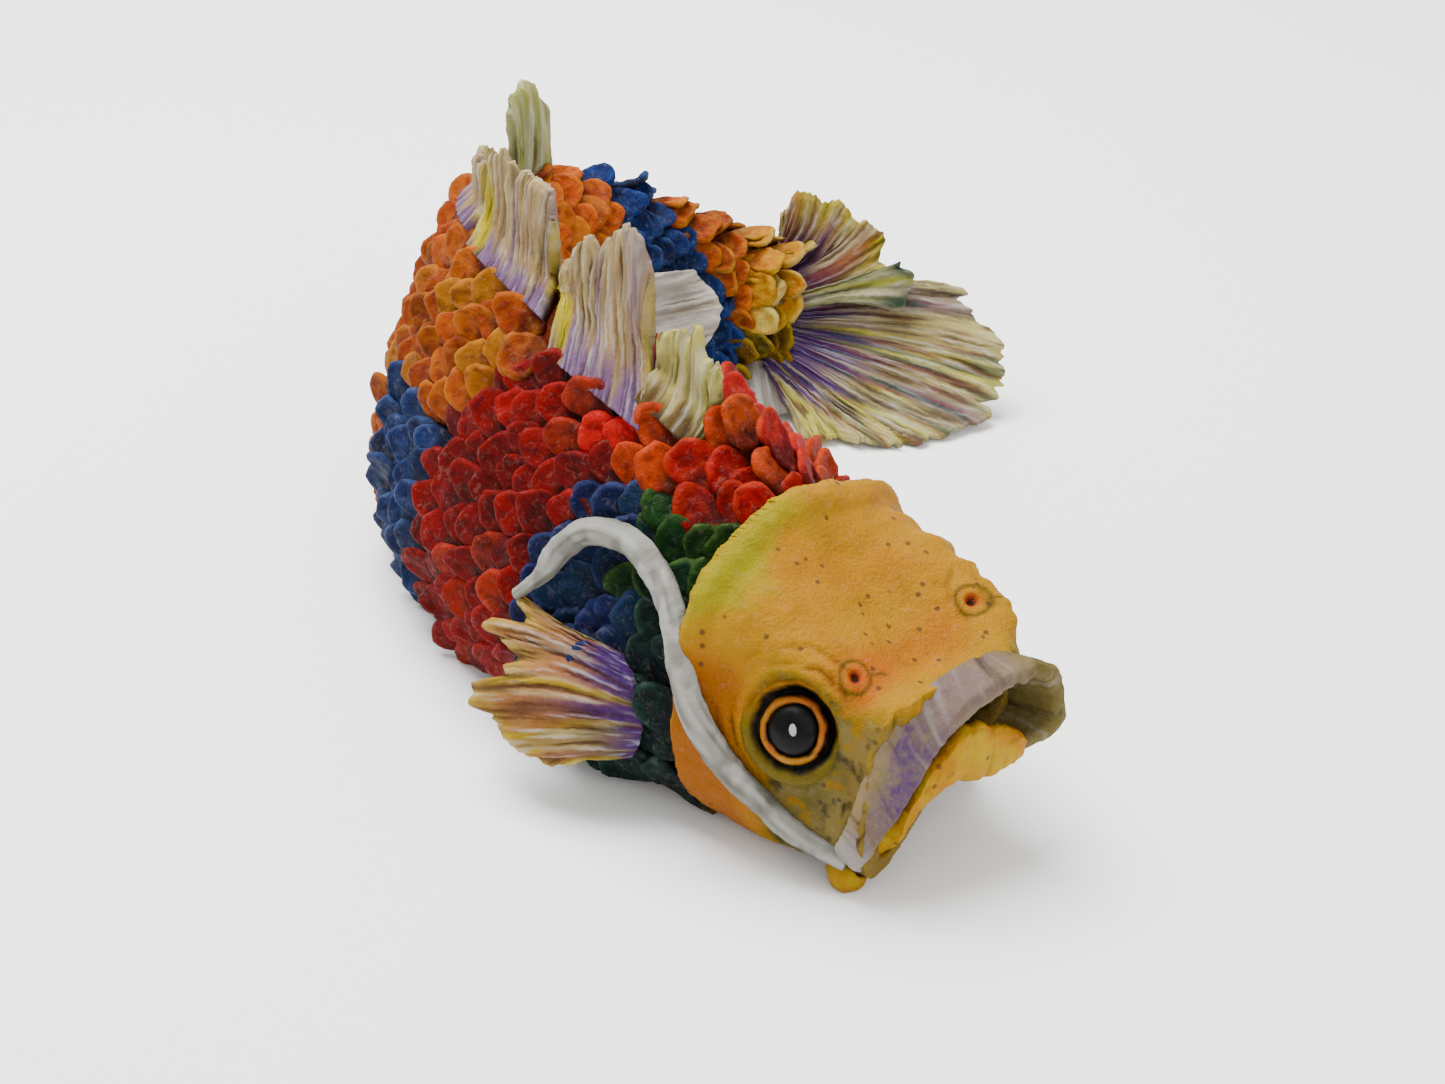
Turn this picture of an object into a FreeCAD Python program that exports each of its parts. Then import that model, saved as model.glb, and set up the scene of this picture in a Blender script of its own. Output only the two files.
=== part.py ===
"""Hand-built clay carp lying on its belly, its body bent in a C.  Millimetres, +Z up.

The fish is drawn in plan coordinates: its head points to +X -Y, its back bends round the
-X side, and its tail fan lies at +X +Y.  The plan is laid out about PLAN_CENTRE, the middle
of its footprint, and the underside of the belly is z = 0.
"""
import FreeCAD, Part
import math
import os

V = FreeCAD.Vector

# ---------------------------------------------------------------- driving dimensions
PLAN_CENTRE = (-4.2, -18.6)     # middle of the footprint, in plan coordinates
BODY_WALL = 6.0                 # clay wall of the hollow trunk
HEAD_WALL = 4.5                 # clay wall of the head
SCALE_LENGTH = 11.0             # one pressed scale, root to free edge
SCALE_WIDTH = 7.8
SCALE_THICKNESS = 1.4
SCALE_ROW = 6.0                 # from one row of scales to the next, along the body
SCALE_COLUMN = 8.0              # from one scale to the next, round the body
SCALE_TILT = 14.5               # degrees that a scale's free edge stands off the body
SCALE_FLOOR = 4.0               # no scale has its middle nearer the table than this
BARBEL_RADIUS = 2.3
LEFT_BARBEL_DROOP = 0.78         # the left barbel's height beside the right one's
EYE_RADIUS = 8.2                # outer radius of the socket ring
IRIS_RADIUS = 6.8
PUPIL_RADIUS = 5.0
EYE_DEPTH = 5.0                 # how far the eye's pieces reach into the cheek
DORSAL_CLEARANCE = 4.5          # how near the roots of the fins and the barbels a scale's
FIN_CLEARANCE = 4.6             # middle may be
BARBEL_CLEARANCE = 4.2

# Body stations from the neck to the tail root: plan x, y, half width, height of the ridge,
# height of the underside, and the height at which the body is widest.
STATIONS = [
    (13, -84, 24, 50, -1, 20),
    (2, -70, 26, 58, -1, 22),
    (-14, -52, 26, 65, -1, 22),
    (-30, -31, 24, 69, -1, 22),
    (-42, -8, 21.5, 70, -1, 22),
    (-46, 16, 18.5, 67, -1, 21),
    (-40, 38, 16, 61, -1, 21),
    (-27, 55, 14, 53, -1, 20),
    (-12, 65, 12, 43, 1, 19),
    (2, 68, 10, 36, 4, 19),
    (12, 67, 8, 31, 7, 19),
]
NECK, FIRST_JOINT, SECOND_JOINT, ROOT = 0, 4, 7, 10     # stations where the sections meet

# Half of a body section, from the ridge down to the belly: fraction of the half width, and
# fraction of the height above (+) or below (-) the widest level.
HALF_SECTION = [(0.0, 1.0), (0.22, 0.93), (0.46, 0.72), (0.72, 0.45), (0.92, 0.18),
                (1.0, 0.0), (0.98, -0.42), (0.82, -0.85), (0.5, -1.0), (0.0, -1.0)]

# Head frame: origin under the front edge of the crown, "forward" out of the mouth.
HEAD_ORIGIN = V(35, -105, 0)
FORWARD = V(0.70, -0.714, 0)
LEFT = V(0.714, 0.70, 0)
UP = V(0, 0, 1)
HEAD_FRONT = -1.0               # distances behind the front edge of the crown
GILL_SEAM = 23.0
HEAD_REAR = 34.0

# Head sections: distance back, then (left, up) points from the right jaw edge over the
# crown to the left jaw edge and under the throat.
HEAD_SECTIONS = [
    (HEAD_FRONT, [(-17, 5), (-18.5, 12), (-17.5, 24), (-15.5, 33.5), (-8, 36), (0, 35),
                  (9, 34), (17.5, 33), (20, 28.5), (19.5, 23), (16, 18.5), (1, 16)]),
    (12, [(-18.5, 4), (-21, 12), (-20, 26), (-17.5, 38), (-9, 42), (0, 41),
          (10, 41), (23, 38.5), (21.5, 30), (20.5, 20), (17, 13), (0, 7.5)]),
    (GILL_SEAM, [(-20, 4), (-24, 13), (-23.5, 29), (-19.5, 43), (-10, 48), (0, 48.5),
                 (11, 47), (23, 42.5), (24.5, 30), (24, 15), (19, 7.5), (0, 5)]),
    (HEAD_REAR, [(-20, 3.5), (-27, 14), (-26.5, 31), (-20.5, 46), (-11, 53), (0, 55.5),
                 (11, 53), (24, 46), (27, 31), (27, 14), (20, 4), (0, 3.5)]),
]
CROWN_EDGE_UP = 33.5            # height of the crown's side edges above b = 0
CROWN_HALF_WIDTH = 17.0
CROWN_RISE = 0.375              # how much those edges rise for each mm back
CROWN_LEFT_DROP = 18.0          # the left edge is lower: the crown folds over on that side
THROAT_RIGHT = 14.0
THROAT_LEFT = 13.0
EYE_PLACE = (13.4, 19.8, 28.2)  # back, out to the side, up
EYE_AXIS = (0.40, 0.82, 0.40)   # forward, out to the side, up
EYE_BORE = 16.0
IRIS_RISE = 0.4
SOCKET_RISE = 1.2
PUPIL_RISE = 2.2

# Scale coats, one for each colour that the scales are painted.
COATS = ["green_nape", "indigo_shoulder", "teal_throat", "vermilion_back", "crimson_flank",
         "ochre_flank", "blue_flank", "orange_bend", "blue_bend", "copper_stalk",
         "gold_stalk", "olive_stalk"]


# ---------------------------------------------------------------- general helpers
def place(point):
    """Plan coordinates to the part's frame."""
    return V(point[0] - PLAN_CENTRE[0], point[1] - PLAN_CENTRE[1], point[2])


def head(back, left, up):
    """Head coordinates to the part's frame."""
    point = HEAD_ORIGIN - FORWARD * back + LEFT * left + UP * up
    return place((point.x, point.y, point.z))


def blend(rows, position):
    """A smooth curve (Catmull-Rom) through rows of numbers, at a fractional row."""
    last = len(rows) - 1
    index = min(int(position), last - 1)
    t = position - index
    before = rows[max(index - 1, 0)]
    here = rows[index]
    after = rows[index + 1]
    beyond = rows[min(index + 2, last)]
    values = []
    for a, b, c, d in zip(before, here, after, beyond):
        cubic = 2 * b + (c - a) * t + (2 * a - 5 * b + 4 * c - d) * t * t
        values.append((cubic + (3 * b - a - 3 * c + d) * t ** 3) / 2)
    return values


def closed_curve(points):
    """A closed smooth wire through points."""
    curve = Part.BSplineCurve()
    curve.interpolate(Points=points, PeriodicFlag=True)
    return Part.Wire([curve.toShape()])


def slab(front, back):
    """A closed solid between two grids of points that have the same rows and columns."""
    skins = []
    for grid in (front, back):
        surface = Part.BSplineSurface()
        surface.interpolate(grid)
        skins.append(surface)
    faces = [skin.toShape() for skin in skins]
    rims = []
    for skin in skins:
        first_u, last_u, first_v, last_v = skin.bounds()
        rims.append([skin.uIso(first_u), skin.uIso(last_u), skin.vIso(first_v),
                     skin.vIso(last_v)])
    for front_rim, back_rim in zip(*rims):
        faces.append(Part.makeRuledSurface(front_rim.toShape(), back_rim.toShape(), 1))
    shell = Part.Compound(faces)
    shell.sewShape()
    solid = Part.Solid(Part.Shell(shell.Faces))
    if solid.Volume < 0:
        solid.reverse()
    return solid


def sheet(rows, root_thickness, edge_thickness):
    """A curved clay sheet about a grid of points.  The first row is its thick root."""
    count = len(rows)
    front = []
    back = []
    for i, row in enumerate(rows):
        half = (root_thickness + (edge_thickness - root_thickness) * i / (count - 1)) / 2
        front.append([])
        back.append([])
        for j, point in enumerate(row):
            along = row[min(j + 1, len(row) - 1)] - row[max(j - 1, 0)]
            out = rows[min(i + 1, count - 1)][j] - rows[max(i - 1, 0)][j]
            normal = along.cross(out)
            normal.normalize()
            front[-1].append(point + normal * half)
            back[-1].append(point - normal * half)
    return slab(front, back)


def tapered_rod(points, radii):
    """A rod through points, with its own radius at each one."""
    wires = []
    for i, point in enumerate(points):
        direction = points[min(i + 1, len(points) - 1)] - points[max(i - 1, 0)]
        wires.append(Part.Wire([Part.makeCircle(radii[i], point, direction)]))
    return Part.makeLoft(wires, True, False)


def largest(shape):
    """The biggest solid of a cut shape, without the slivers beside it."""
    return max(shape.Solids, key=lambda solid: solid.Volume)


def save(name, solids):
    """Write one node: a solid, or several separate solids that are alike."""
    shape = solids[0] if len(solids) == 1 else Part.Compound(solids)
    shape.exportStep("parts/" + name + ".step")
    print(name, len(shape.Solids), shape.isValid(), round(shape.Volume))


# ---------------------------------------------------------------- the body's surface
def direction_at(station):
    """Unit vector along the spine towards the tail, and the fish's right."""
    step = 0.05
    behind = blend(STATIONS, max(station - step, 0))
    ahead = blend(STATIONS, min(station + step, ROOT))
    along = V(ahead[0] - behind[0], ahead[1] - behind[1], 0)
    along.normalize()
    return along, V(-along.y, along.x, 0)


def section_point(station, girth, inset=0.0):
    """A point on the body.  Girth runs from -9 (belly, fish's left) through 0 (ridge) to
    +9 (belly, fish's right), one unit for each span of HALF_SECTION."""
    x, y, width, top, bottom, widest = blend(STATIONS, station)
    across, rise = blend(HALF_SECTION, abs(girth))
    height = (top - widest if rise > 0 else widest - bottom) - inset
    right = direction_at(station)[1]
    side = math.copysign(1, girth) * across * (width - inset)
    return place((x + right.x * side, y + right.y * side, widest + rise * height))


def section_wire(station, inset=0.0):
    """The closed outline of the body at a station."""
    lowest = len(HALF_SECTION) - 1
    girths = list(range(-lowest + 1, lowest + 1))
    return closed_curve([section_point(station, girth, inset) for girth in girths])


def body_loft(first, last, inset=0.0, steps=2):
    """The body between two stations, with extra sections between them."""
    count = round((last - first) * steps)
    spacing = (last - first) / count
    wires = [section_wire(first + i * spacing, inset) for i in range(count + 1)]
    return Part.makeLoft(wires, True, False)


def half_space():
    """Everything above the table."""
    return Part.makeBox(400, 400, 200, V(-200, -200, 0))


# ---------------------------------------------------------------- body sections
def make_body():
    """Three sections built one after the other: two hollow, and a solid tail stalk."""
    end_wall = 0.4      # stations between the outside and the inside of an end wall
    above_table = half_space()
    front = body_loft(NECK, FIRST_JOINT).common(above_table)
    rear = body_loft(FIRST_JOINT, SECOND_JOINT).common(above_table)
    stalk = body_loft(SECOND_JOINT, ROOT).common(above_table)
    hollow_front = body_loft(NECK + end_wall, FIRST_JOINT, BODY_WALL)
    hollow_rear = body_loft(FIRST_JOINT, SECOND_JOINT - end_wall, BODY_WALL)
    outside = [front, rear, stalk]
    save("front_trunk_shell", [front.cut(hollow_front)])
    save("rear_trunk_shell", [rear.cut(hollow_rear)])
    save("tail_stalk", [stalk])
    return outside


# ---------------------------------------------------------------- scales
def coat_for(station, height):
    """Which coat a scale belongs to, from its place on the body."""
    if station > 8.5 and height < 20:
        return "olive_stalk"
    if station > 6.75:
        if station < 7.7 + 0.035 * (46 - height):
            return "blue_bend"
        return "copper_stalk" if station < 8.75 else "gold_stalk"
    if station > 5.0:
        return "orange_bend"
    if station > min(2.35 + 0.03 * (68 - height), 2.95):
        return "blue_flank" if height < 44 and station < 4.1 else "ochre_flank"
    if station < 1.75 and height > 46 + 5 * min(station, 1):
        return "vermilion_back"
    if station > min(1.5 + 0.06 * max(46 - height, 0), 1.85):
        return "crimson_flank"
    if station > 1.1 or (station > 0.55 and 22 < height < 37):
        return "indigo_shoulder"
    return "green_nape" if height > 35 else "teal_throat"


def scale_solid(size):
    """One pressed scale: an oval plate along +X, tilted up about its root at the origin."""
    oval = Part.Ellipse(V(0, 0, 0), SCALE_LENGTH / 2 * size, SCALE_WIDTH / 2 * size)
    plate = Part.Face(Part.Wire([oval.toShape()])).extrude(V(0, 0, SCALE_THICKNESS * size))
    plate.translate(V(SCALE_LENGTH / 2 * size, 0, 0))
    plate.rotate(V(0, 0, 0), V(0, 1, 0), -SCALE_TILT)
    return plate


def girth_places(station, spacing, offset):
    """Girths that stand evenly round one side of the body, from the ridge down."""
    places = []
    travelled = -offset
    step = 0.05
    previous = section_point(station, 0)
    girth = step
    while girth < len(HALF_SECTION) - 1:
        point = section_point(station, girth)
        travelled += point.distanceToPoint(previous)
        previous = point
        if travelled >= spacing or (not places and travelled >= 0):
            places.append(girth)
            travelled = 0.0
        girth += step
    return places


def has_room(middle, kept_clear):
    """True where the middle of a scale is far enough from every (point, radius) kept clear."""
    return all(middle.distanceToPoint(point) > radius for point, radius in kept_clear)


def make_scales(kept_clear):
    """Rows of scales from the tail to the neck, each row staggered against the last."""
    coats = {name: [] for name in COATS}
    station = ROOT - 0.3
    row = 0
    while station > 0.25:
        along = direction_at(station)[0]
        size = 0.72 + 0.28 * min(blend(STATIONS, station)[2] / 20.0, 1.0)
        offset = SCALE_COLUMN * size * (0.5 if row % 2 else 0.05)
        for girth in girth_places(station, SCALE_COLUMN * size, offset):
            for side in (1, -1):
                root = section_point(station, girth * side)
                if root.z < SCALE_FLOOR:
                    continue
                lengthwise = section_point(min(station + 0.1, ROOT), girth * side) - root
                lengthwise.normalize()
                around = section_point(station, (girth + 0.1) * side)
                around = (around - root) * side
                normal = lengthwise.cross(around)
                normal.normalize()
                if not has_room(root + (lengthwise + normal / 4) * (SCALE_ROW * size), kept_clear):
                    continue
                across = normal.cross(lengthwise)
                frame = FreeCAD.Matrix(lengthwise.x, across.x, normal.x, root.x,
                                       lengthwise.y, across.y, normal.y, root.y,
                                       lengthwise.z, across.z, normal.z, root.z, 0, 0, 0, 1)
                plate = scale_solid(size).transformGeometry(frame).Solids[0]
                coats[coat_for(station, root.z)].append(plate)
        ahead = blend(STATIONS, station)
        nearer = blend(STATIONS, station - 0.1)
        per_station = math.hypot(ahead[0] - nearer[0], ahead[1] - nearer[1]) / 0.1
        station -= SCALE_ROW * size / per_station
        row += 1
    for name, plates in coats.items():
        save("scales_" + name, plates)


# ---------------------------------------------------------------- head
def inset_outline(outline, depth):
    """A (left, up) outline with every point drawn towards its middle by depth."""
    middle_left = sum(left for left, up in outline) / len(outline)
    middle_up = sum(up for left, up in outline) / len(outline)
    moved = []
    for left, up in outline:
        run = (middle_left - left, middle_up - up)
        share = depth / math.hypot(run[0], run[1])
        moved.append((left + run[0] * share, up + run[1] * share))
    return moved


def head_loft(depth=0.0):
    """The whole form of the head from the mouth's rim to the gills, or its hollow."""
    wires = []
    for back, outline in HEAD_SECTIONS:
        ring = inset_outline(outline, depth) if depth else outline
        wires.append(closed_curve([head(back, left, up) for left, up in ring]))
    return Part.makeLoft(wires, True, False)


def head_prism(outline, first, last, rise=0.0):
    """A (left, up) outline drawn back through the head, rising by rise for each mm."""
    points = [head(first, left, up + rise * first) for left, up in outline]
    face = Part.Face(Part.makePolygon(points + points[:1]))
    prism = face.extrude(head(last, 0, rise * last) - head(first, 0, rise * first))
    if prism.Volume < 0:
        prism.reverse()
    return prism


def eye_pieces(side, name, cheek):
    """The eye's three pieces in their bore; returns the cheek with the bore in it."""
    centre = head(EYE_PLACE[0], side * EYE_PLACE[1], EYE_PLACE[2])
    axis = FORWARD * EYE_AXIS[0] + LEFT * (side * EYE_AXIS[1]) + UP * EYE_AXIS[2]
    axis.normalize()
    seat = centre - axis * EYE_DEPTH

    def disc(radius, length):
        return Part.makeCylinder(radius, length, seat, axis)

    save(name + "_pupil", [domed_button(seat, axis)])
    save(name + "_iris_ring", [disc(IRIS_RADIUS, EYE_DEPTH + IRIS_RISE).cut(
        disc(PUPIL_RADIUS, EYE_DEPTH + PUPIL_RISE))])
    save(name + "_socket_ring", [disc(EYE_RADIUS, EYE_DEPTH + SOCKET_RISE).cut(
        disc(IRIS_RADIUS, EYE_DEPTH + PUPIL_RISE))])
    return cheek.cut(disc(EYE_RADIUS, EYE_BORE))


def domed_button(seat, axis):
    """The pupil: a round plug with a domed face."""
    dome_radius = (PUPIL_RADIUS ** 2 + PUPIL_RISE ** 2) / (2 * PUPIL_RISE)
    crest = EYE_DEPTH + PUPIL_RISE
    ball = Part.makeSphere(dome_radius, V(0, 0, crest - dome_radius))
    plug = Part.makeCylinder(PUPIL_RADIUS, crest).common(ball)
    plug.Placement = FreeCAD.Placement(seat, FreeCAD.Rotation(UP, axis))
    return plug


def make_head(trunk):
    """The head's slabs, cut from one hollow form so that they meet face to face."""
    form = head_loft()
    shell = form.cut(head_loft(HEAD_WALL)).cut(trunk)
    low = CROWN_EDGE_UP - CROWN_HALF_WIDTH
    reach = 60
    top = low + reach
    wedge = head_prism([(0, low), (-reach, top), (-reach, 2 * top), (reach, 2 * top),
                        (reach, top - CROWN_LEFT_DROP)], -5, HEAD_REAR + 5, CROWN_RISE)
    throat_bar = head_prism([(-THROAT_RIGHT, -9), (THROAT_LEFT, -9), (THROAT_LEFT, 30),
                             (-THROAT_RIGHT, 13)], -5, HEAD_REAR + 5, -0.2)
    crown = shell.common(wedge)
    walls = shell.cut(wedge)
    throat = walls.common(throat_bar)
    walls = walls.cut(throat_bar)
    right_half = head_prism([(0, -20), (-reach, -20), (-reach, 2 * reach), (0, 2 * reach)],
                            -5, HEAD_REAR + 5)
    fore = head_prism([(-reach, -20), (reach, -20), (reach, 2 * reach), (-reach, 2 * reach)],
                      -5, GILL_SEAM)
    for side, name, half in ((-1, "right", walls.common(right_half)),
                             (1, "left", walls.cut(right_half))):
        cheek = eye_pieces(side, name, half.common(fore))
        gill = half.cut(fore)
        save(name + "_cheek", [largest(cheek)])
        save(name + "_gill_cover", [largest(gill)])
    save("crown_plate", [largest(crown)])
    save("throat_plate", [largest(throat)])
    return form


# ---------------------------------------------------------------- mouth and barbels
def make_mouth(form):
    """The flared lip, the scoop of the lower jaw inside it, and the lump that the chin rests on.
    Points are (back, left, up) in the head's frame, from the right corner over the top."""
    lip_root = [(4, -17.2, 8.6), (2.5, -17.2, 15.3), (1.5, -15.4, 25.5), (1.5, -11.8, 31),
                (1.5, -2.5, 33), (1.5, 8, 32), (1.5, 15.5, 31), (1.5, 18, 27.5),
                (1.5, 17.5, 23), (1.5, 14.5, 19.5)]
    lip_rim = [(0, -18.2, 6), (-1.5, -15.9, 9.9), (-3, -13, 15.7), (-5, -8.4, 23.5),
               (-6.5, -3.8, 30.1), (-8, 3.2, 34.5), (-9.5, 11.2, 35.8), (-10.5, 17.3, 32.9),
               (-10, 19.4, 22.5), (-7, 13.6, 18.8)]
    jaw_root = [(-0.5, -14, 8), (-0.5, -7, 13), (-0.5, 0, 17.5), (-0.5, 7, 17.5),
                (-0.5, 13, 18.5)]
    jaw_fold = [(-1.5, -12, 10.5), (-2.5, -6, 16.5), (-4, 0, 19), (-5, 7, 17),
                (-5.5, 13.5, 17.5)]
    jaw_rim = [(-2, -9.5, 16), (-3.5, -3.5, 24), (-5, 2, 28), (-6, 8.5, 26), (-6.5, 14, 21.5)]
    lip_middle = []
    for root, rim in zip(lip_root, lip_rim):
        lip_middle.append([(a + b) / 2 for a, b in zip(root, rim)])
    lip_rows = [[head(*point) for point in row] for row in (lip_root, lip_middle, lip_rim)]
    jaw_rows = [[head(*point) for point in row] for row in (jaw_root, jaw_fold, jaw_rim)]
    lip = sheet(lip_rows, 4.6, 3.6).cut(form)
    jaw = sheet(jaw_rows, 3.6, 3.0).cut(form)
    chin = Part.makeSphere(3.6, head(4.5, -16, 2.9)).common(half_space()).cut(form).cut(lip)
    save("upper_lip", [largest(lip)])
    save("lower_jaw", [largest(jaw)])
    save("chin_foot", [largest(chin)])
    return [lip, jaw]


def make_barbels(solids):
    """A rolled coil on each side: from the corner of the mouth along the cheek's lower edge,
    up the gill edge, over the shoulder and down behind it."""
    right = [(20.5, -115.5, 6.8), (13.5, -112.2, 8.8), (7.2, -109.4, 13), (0.6, -107, 19.5),
             (-4, -104.8, 26.3), (-6.4, -101, 32.4), (-7.4, -96, 37.6), (-9.4, -90.6, 42.6),
             (-13, -84.6, 46.4), (-17.8, -80, 47.4), (-22.8, -76.4, 46), (-27.6, -75, 41.8),
             (-31, -75, 36.6), (-35.4, -72.6, 31.6)]
    radii = [BARBEL_RADIUS] * (len(right) - 2) + [BARBEL_RADIUS * 0.9, BARBEL_RADIUS * 0.5]
    kept_clear = []
    left = [mirrored((x, y, z * LEFT_BARBEL_DROOP)) for x, y, z in right]
    for name, route in (("right_barbel", right), ("left_barbel", left)):
        rod = tapered_rod([place(point) for point in route], radii)
        for solid in solids:
            rod = rod.cut(solid)
        save(name, [largest(rod)])
        for i, point in enumerate(route[1:]):
            kept_clear.append((place(point), BARBEL_CLEARANCE))
            kept_clear.append(((place(point) + place(route[i])) / 2, BARBEL_CLEARANCE))
    return kept_clear


# ---------------------------------------------------------------- fins
def mirrored(point):
    """A plan point reflected across the head's middle plane."""
    offset = V(*point) - HEAD_ORIGIN
    across = offset.dot(LEFT)
    moved = V(*point) - LEFT * (2 * across / LEFT.dot(LEFT))
    return moved.x, moved.y, moved.z


def trimmed(fin, body):
    """A fin with whatever lies inside the body cut away, so that its root fits the body."""
    for solid in body:
        fin = fin.cut(solid)
    return largest(fin)


def make_dorsal_fins(body):
    """Five slabs that stand on the ridge.  Each has (station, height) points along its top."""
    tops = {
        "dorsal_fin_front": [(1.18, 71), (1.27, 75.5), (1.45, 78.5), (1.62, 75.5), (1.8, 73)],
        "dorsal_fin_middle": [(1.9, 83), (2.06, 90.5), (2.22, 89.5), (2.38, 85.5), (2.54, 85),
                              (2.7, 81), (2.86, 76)],
        "dorsal_fin_rear": [(2.97, 84), (3.06, 87.5), (3.3, 88), (3.55, 89), (3.8, 90),
                            (4.08, 87)],
        "dorsal_fin_bend": [(4.2, 84), (4.5, 80.5), (4.85, 78.5), (5.2, 76), (5.5, 72)],
        "dorsal_fin_leaf": [(5.9, 78), (6.0, 82), (6.12, 82.2), (6.3, 78)],
    }
    root_depth = 6.0
    roots = []
    for name, top in tops.items():
        rows = [[], [], []]
        for station, height in top:
            x, y, width, ridge, bottom, widest = blend(STATIONS, station)
            rows[0].append(place((x, y, ridge - root_depth)))
            rows[1].append(place((x, y, (ridge + height) / 2)))
            rows[2].append(place((x, y, height)))
        save(name, [trimmed(sheet(rows, 5.0, 2.6), body)])
        for station, height in top:
            x, y, width, ridge, bottom, widest = blend(STATIONS, station)
            roots.append((place((x, y, ridge)), DORSAL_CLEARANCE))
    return roots


def make_paired_fins(body):
    """The pectoral fins behind the gills and the pelvic fins behind the bend."""
    pectoral = [
        [(-16.5, -87.5, 29), (-14, -91.5, 26), (-13, -93, 21.5), (-13.5, -93.5, 17), (-16, -92, 13)],
        [(-27, -80, 30), (-27.5, -83.5, 26), (-28, -88, 20.5), (-26, -91.5, 15), (-23, -92.5, 11.5)],
        [(-37, -71.5, 29), (-41, -74, 21), (-42.3, -79, 14), (-36, -86, 10), (-27, -89, 8.5)],
    ]
    pelvic = [
        [(-24, 43, 32), (-24, 41, 28), (-22, 40, 24), (-19, 40, 20)],
        [(-14, 47, 37), (-13, 45.5, 31), (-12, 43.5, 26), (-11, 42, 22)],
        [(-6, 51, 36), (-1.5, 49, 31.5), (-0.5, 47, 27), (-4, 44, 22)],
    ]
    far_pelvic = [
        [(-52, 44, 26), (-53, 42, 22), (-53, 40, 18), (-52, 38, 13)],
        [(-48, 56, 25), (-51, 53, 20), (-53, 50, 14), (-54, 46, 9)],
        [(-42, 67, 24), (-46, 65, 17), (-50, 61, 10), (-53, 55, 5)],
    ]
    anal = [
        [(1, 60, 10), (7, 60.5, 11), (13, 61, 11)],
        [(2, 55, 5), (8, 54.5, 6), (14, 56, 5.5)],
        [(3, 52, 2.2), (9, 51, 2.2), (15, 52.5, 2.2)],
    ]
    roots = []
    left_pectoral = [[mirrored(point) for point in row] for row in pectoral]
    for name, rows in (("right_pectoral_fin", pectoral), ("left_pectoral_fin", left_pectoral),
                       ("left_pelvic_fin", pelvic), ("right_pelvic_fin", far_pelvic),
                       ("anal_fin", anal)):
        fin = sheet([[place(point) for point in row] for row in rows], 4.2, 2.8)
        save(name, [trimmed(fin.common(half_space()), body)])
        roots += [(place(point), FIN_CLEARANCE) for point in rows[0]]
    return roots


def make_tail(body):
    """The tail: a fan that stands up, two leaves that curl over, and a fan on the table."""
    leaves = {
        "tail_lower_fan": [
            [(11, 66, 19), (11, 64.5, 17.5), (11, 62.5, 16), (10.5, 60.5, 14), (10, 59, 12),
             (9.5, 57.5, 10)],
            [(32, 69, 25), (37, 62, 17), (36, 57, 10.5), (29, 50.5, 6), (22, 48.5, 4.5),
             (14, 49, 4.5)],
            [(51, 68, 25), (60, 58, 14.5), (59.5, 51, 4), (45, 41, 1.7), (31, 38.8, 1.7),
             (17, 41.5, 1.7)]],
        "tail_upper_fan": [
            [(8, 70, 26), (8.5, 70, 27), (9.5, 70, 27.5), (10.5, 69.5, 27.5), (11, 69, 26.5)],
            [(12, 71, 33), (14, 71.5, 36), (17.5, 71, 36), (20.5, 70.5, 35), (22.5, 69.5, 33)],
            [(12.8, 72, 39.5), (16.3, 73, 45), (20.5, 73, 43), (24.5, 72, 42.5),
             (28, 70.5, 40)]],
        "tail_middle_leaf": [
            [(10, 65.5, 27), (10, 65, 25.5), (10, 64.5, 24)],
            [(22, 67, 32), (24, 66, 30), (24, 65, 28)],
            [(31, 68, 40), (34.5, 66.5, 36.5), (33.5, 65, 31)]],
        "tail_curled_leaf": [
            [(9.5, 61.5, 24), (9.5, 61, 22.5), (9.5, 60.5, 21)],
            [(26, 63, 28.5), (27, 62, 26.5), (26, 61, 24)],
            [(37, 64, 32), (41, 61.5, 28), (38, 59, 22.5)]],
    }
    pieces = []
    for name, rows in leaves.items():
        leaf = sheet([[place(point) for point in row] for row in rows], 3.4, 2.6)
        leaf = trimmed(leaf.common(half_space()), body + pieces)
        save(name, [leaf])
        pieces.append(leaf)
    return [(place(point), FIN_CLEARANCE) for rows in leaves.values() for point in rows[0]]


# ---------------------------------------------------------------- main
def main():
    os.makedirs("parts", exist_ok=True)
    body = make_body()
    form = make_head(body[0])
    mouth = make_mouth(form)
    kept_clear = make_dorsal_fins(body) + make_paired_fins(body) + make_tail(body)
    kept_clear += make_barbels(body + [form] + mouth)
    make_scales(kept_clear)


main()
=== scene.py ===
"""Painted clay koi: how it looks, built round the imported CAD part.

The modelling below is in millimetres and is turned into metres when a mesh is made.  Body
places are given as (station, girth), head places as (back, left, up), as in the part.
"""
import math

import bpy
import numpy as np
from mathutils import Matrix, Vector


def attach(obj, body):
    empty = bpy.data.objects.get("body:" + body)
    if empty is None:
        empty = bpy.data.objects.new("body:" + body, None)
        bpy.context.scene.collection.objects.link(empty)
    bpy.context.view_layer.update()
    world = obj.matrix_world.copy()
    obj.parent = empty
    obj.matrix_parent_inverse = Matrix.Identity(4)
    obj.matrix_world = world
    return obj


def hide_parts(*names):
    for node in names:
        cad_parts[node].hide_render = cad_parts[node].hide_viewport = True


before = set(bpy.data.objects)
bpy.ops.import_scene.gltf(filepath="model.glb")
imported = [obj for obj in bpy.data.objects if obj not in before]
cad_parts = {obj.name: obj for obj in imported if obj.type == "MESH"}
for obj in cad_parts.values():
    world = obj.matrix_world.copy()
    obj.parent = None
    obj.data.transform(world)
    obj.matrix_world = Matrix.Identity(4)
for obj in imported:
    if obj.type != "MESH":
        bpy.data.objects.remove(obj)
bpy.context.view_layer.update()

MM = 0.001
PAINT_DEPTH = 0.35      # the studio light is strong, so the paint is this share of its brightness
FIN_LIFT = 1.4          # the fins, the lip and the jaw are this much brighter than the rest

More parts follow.
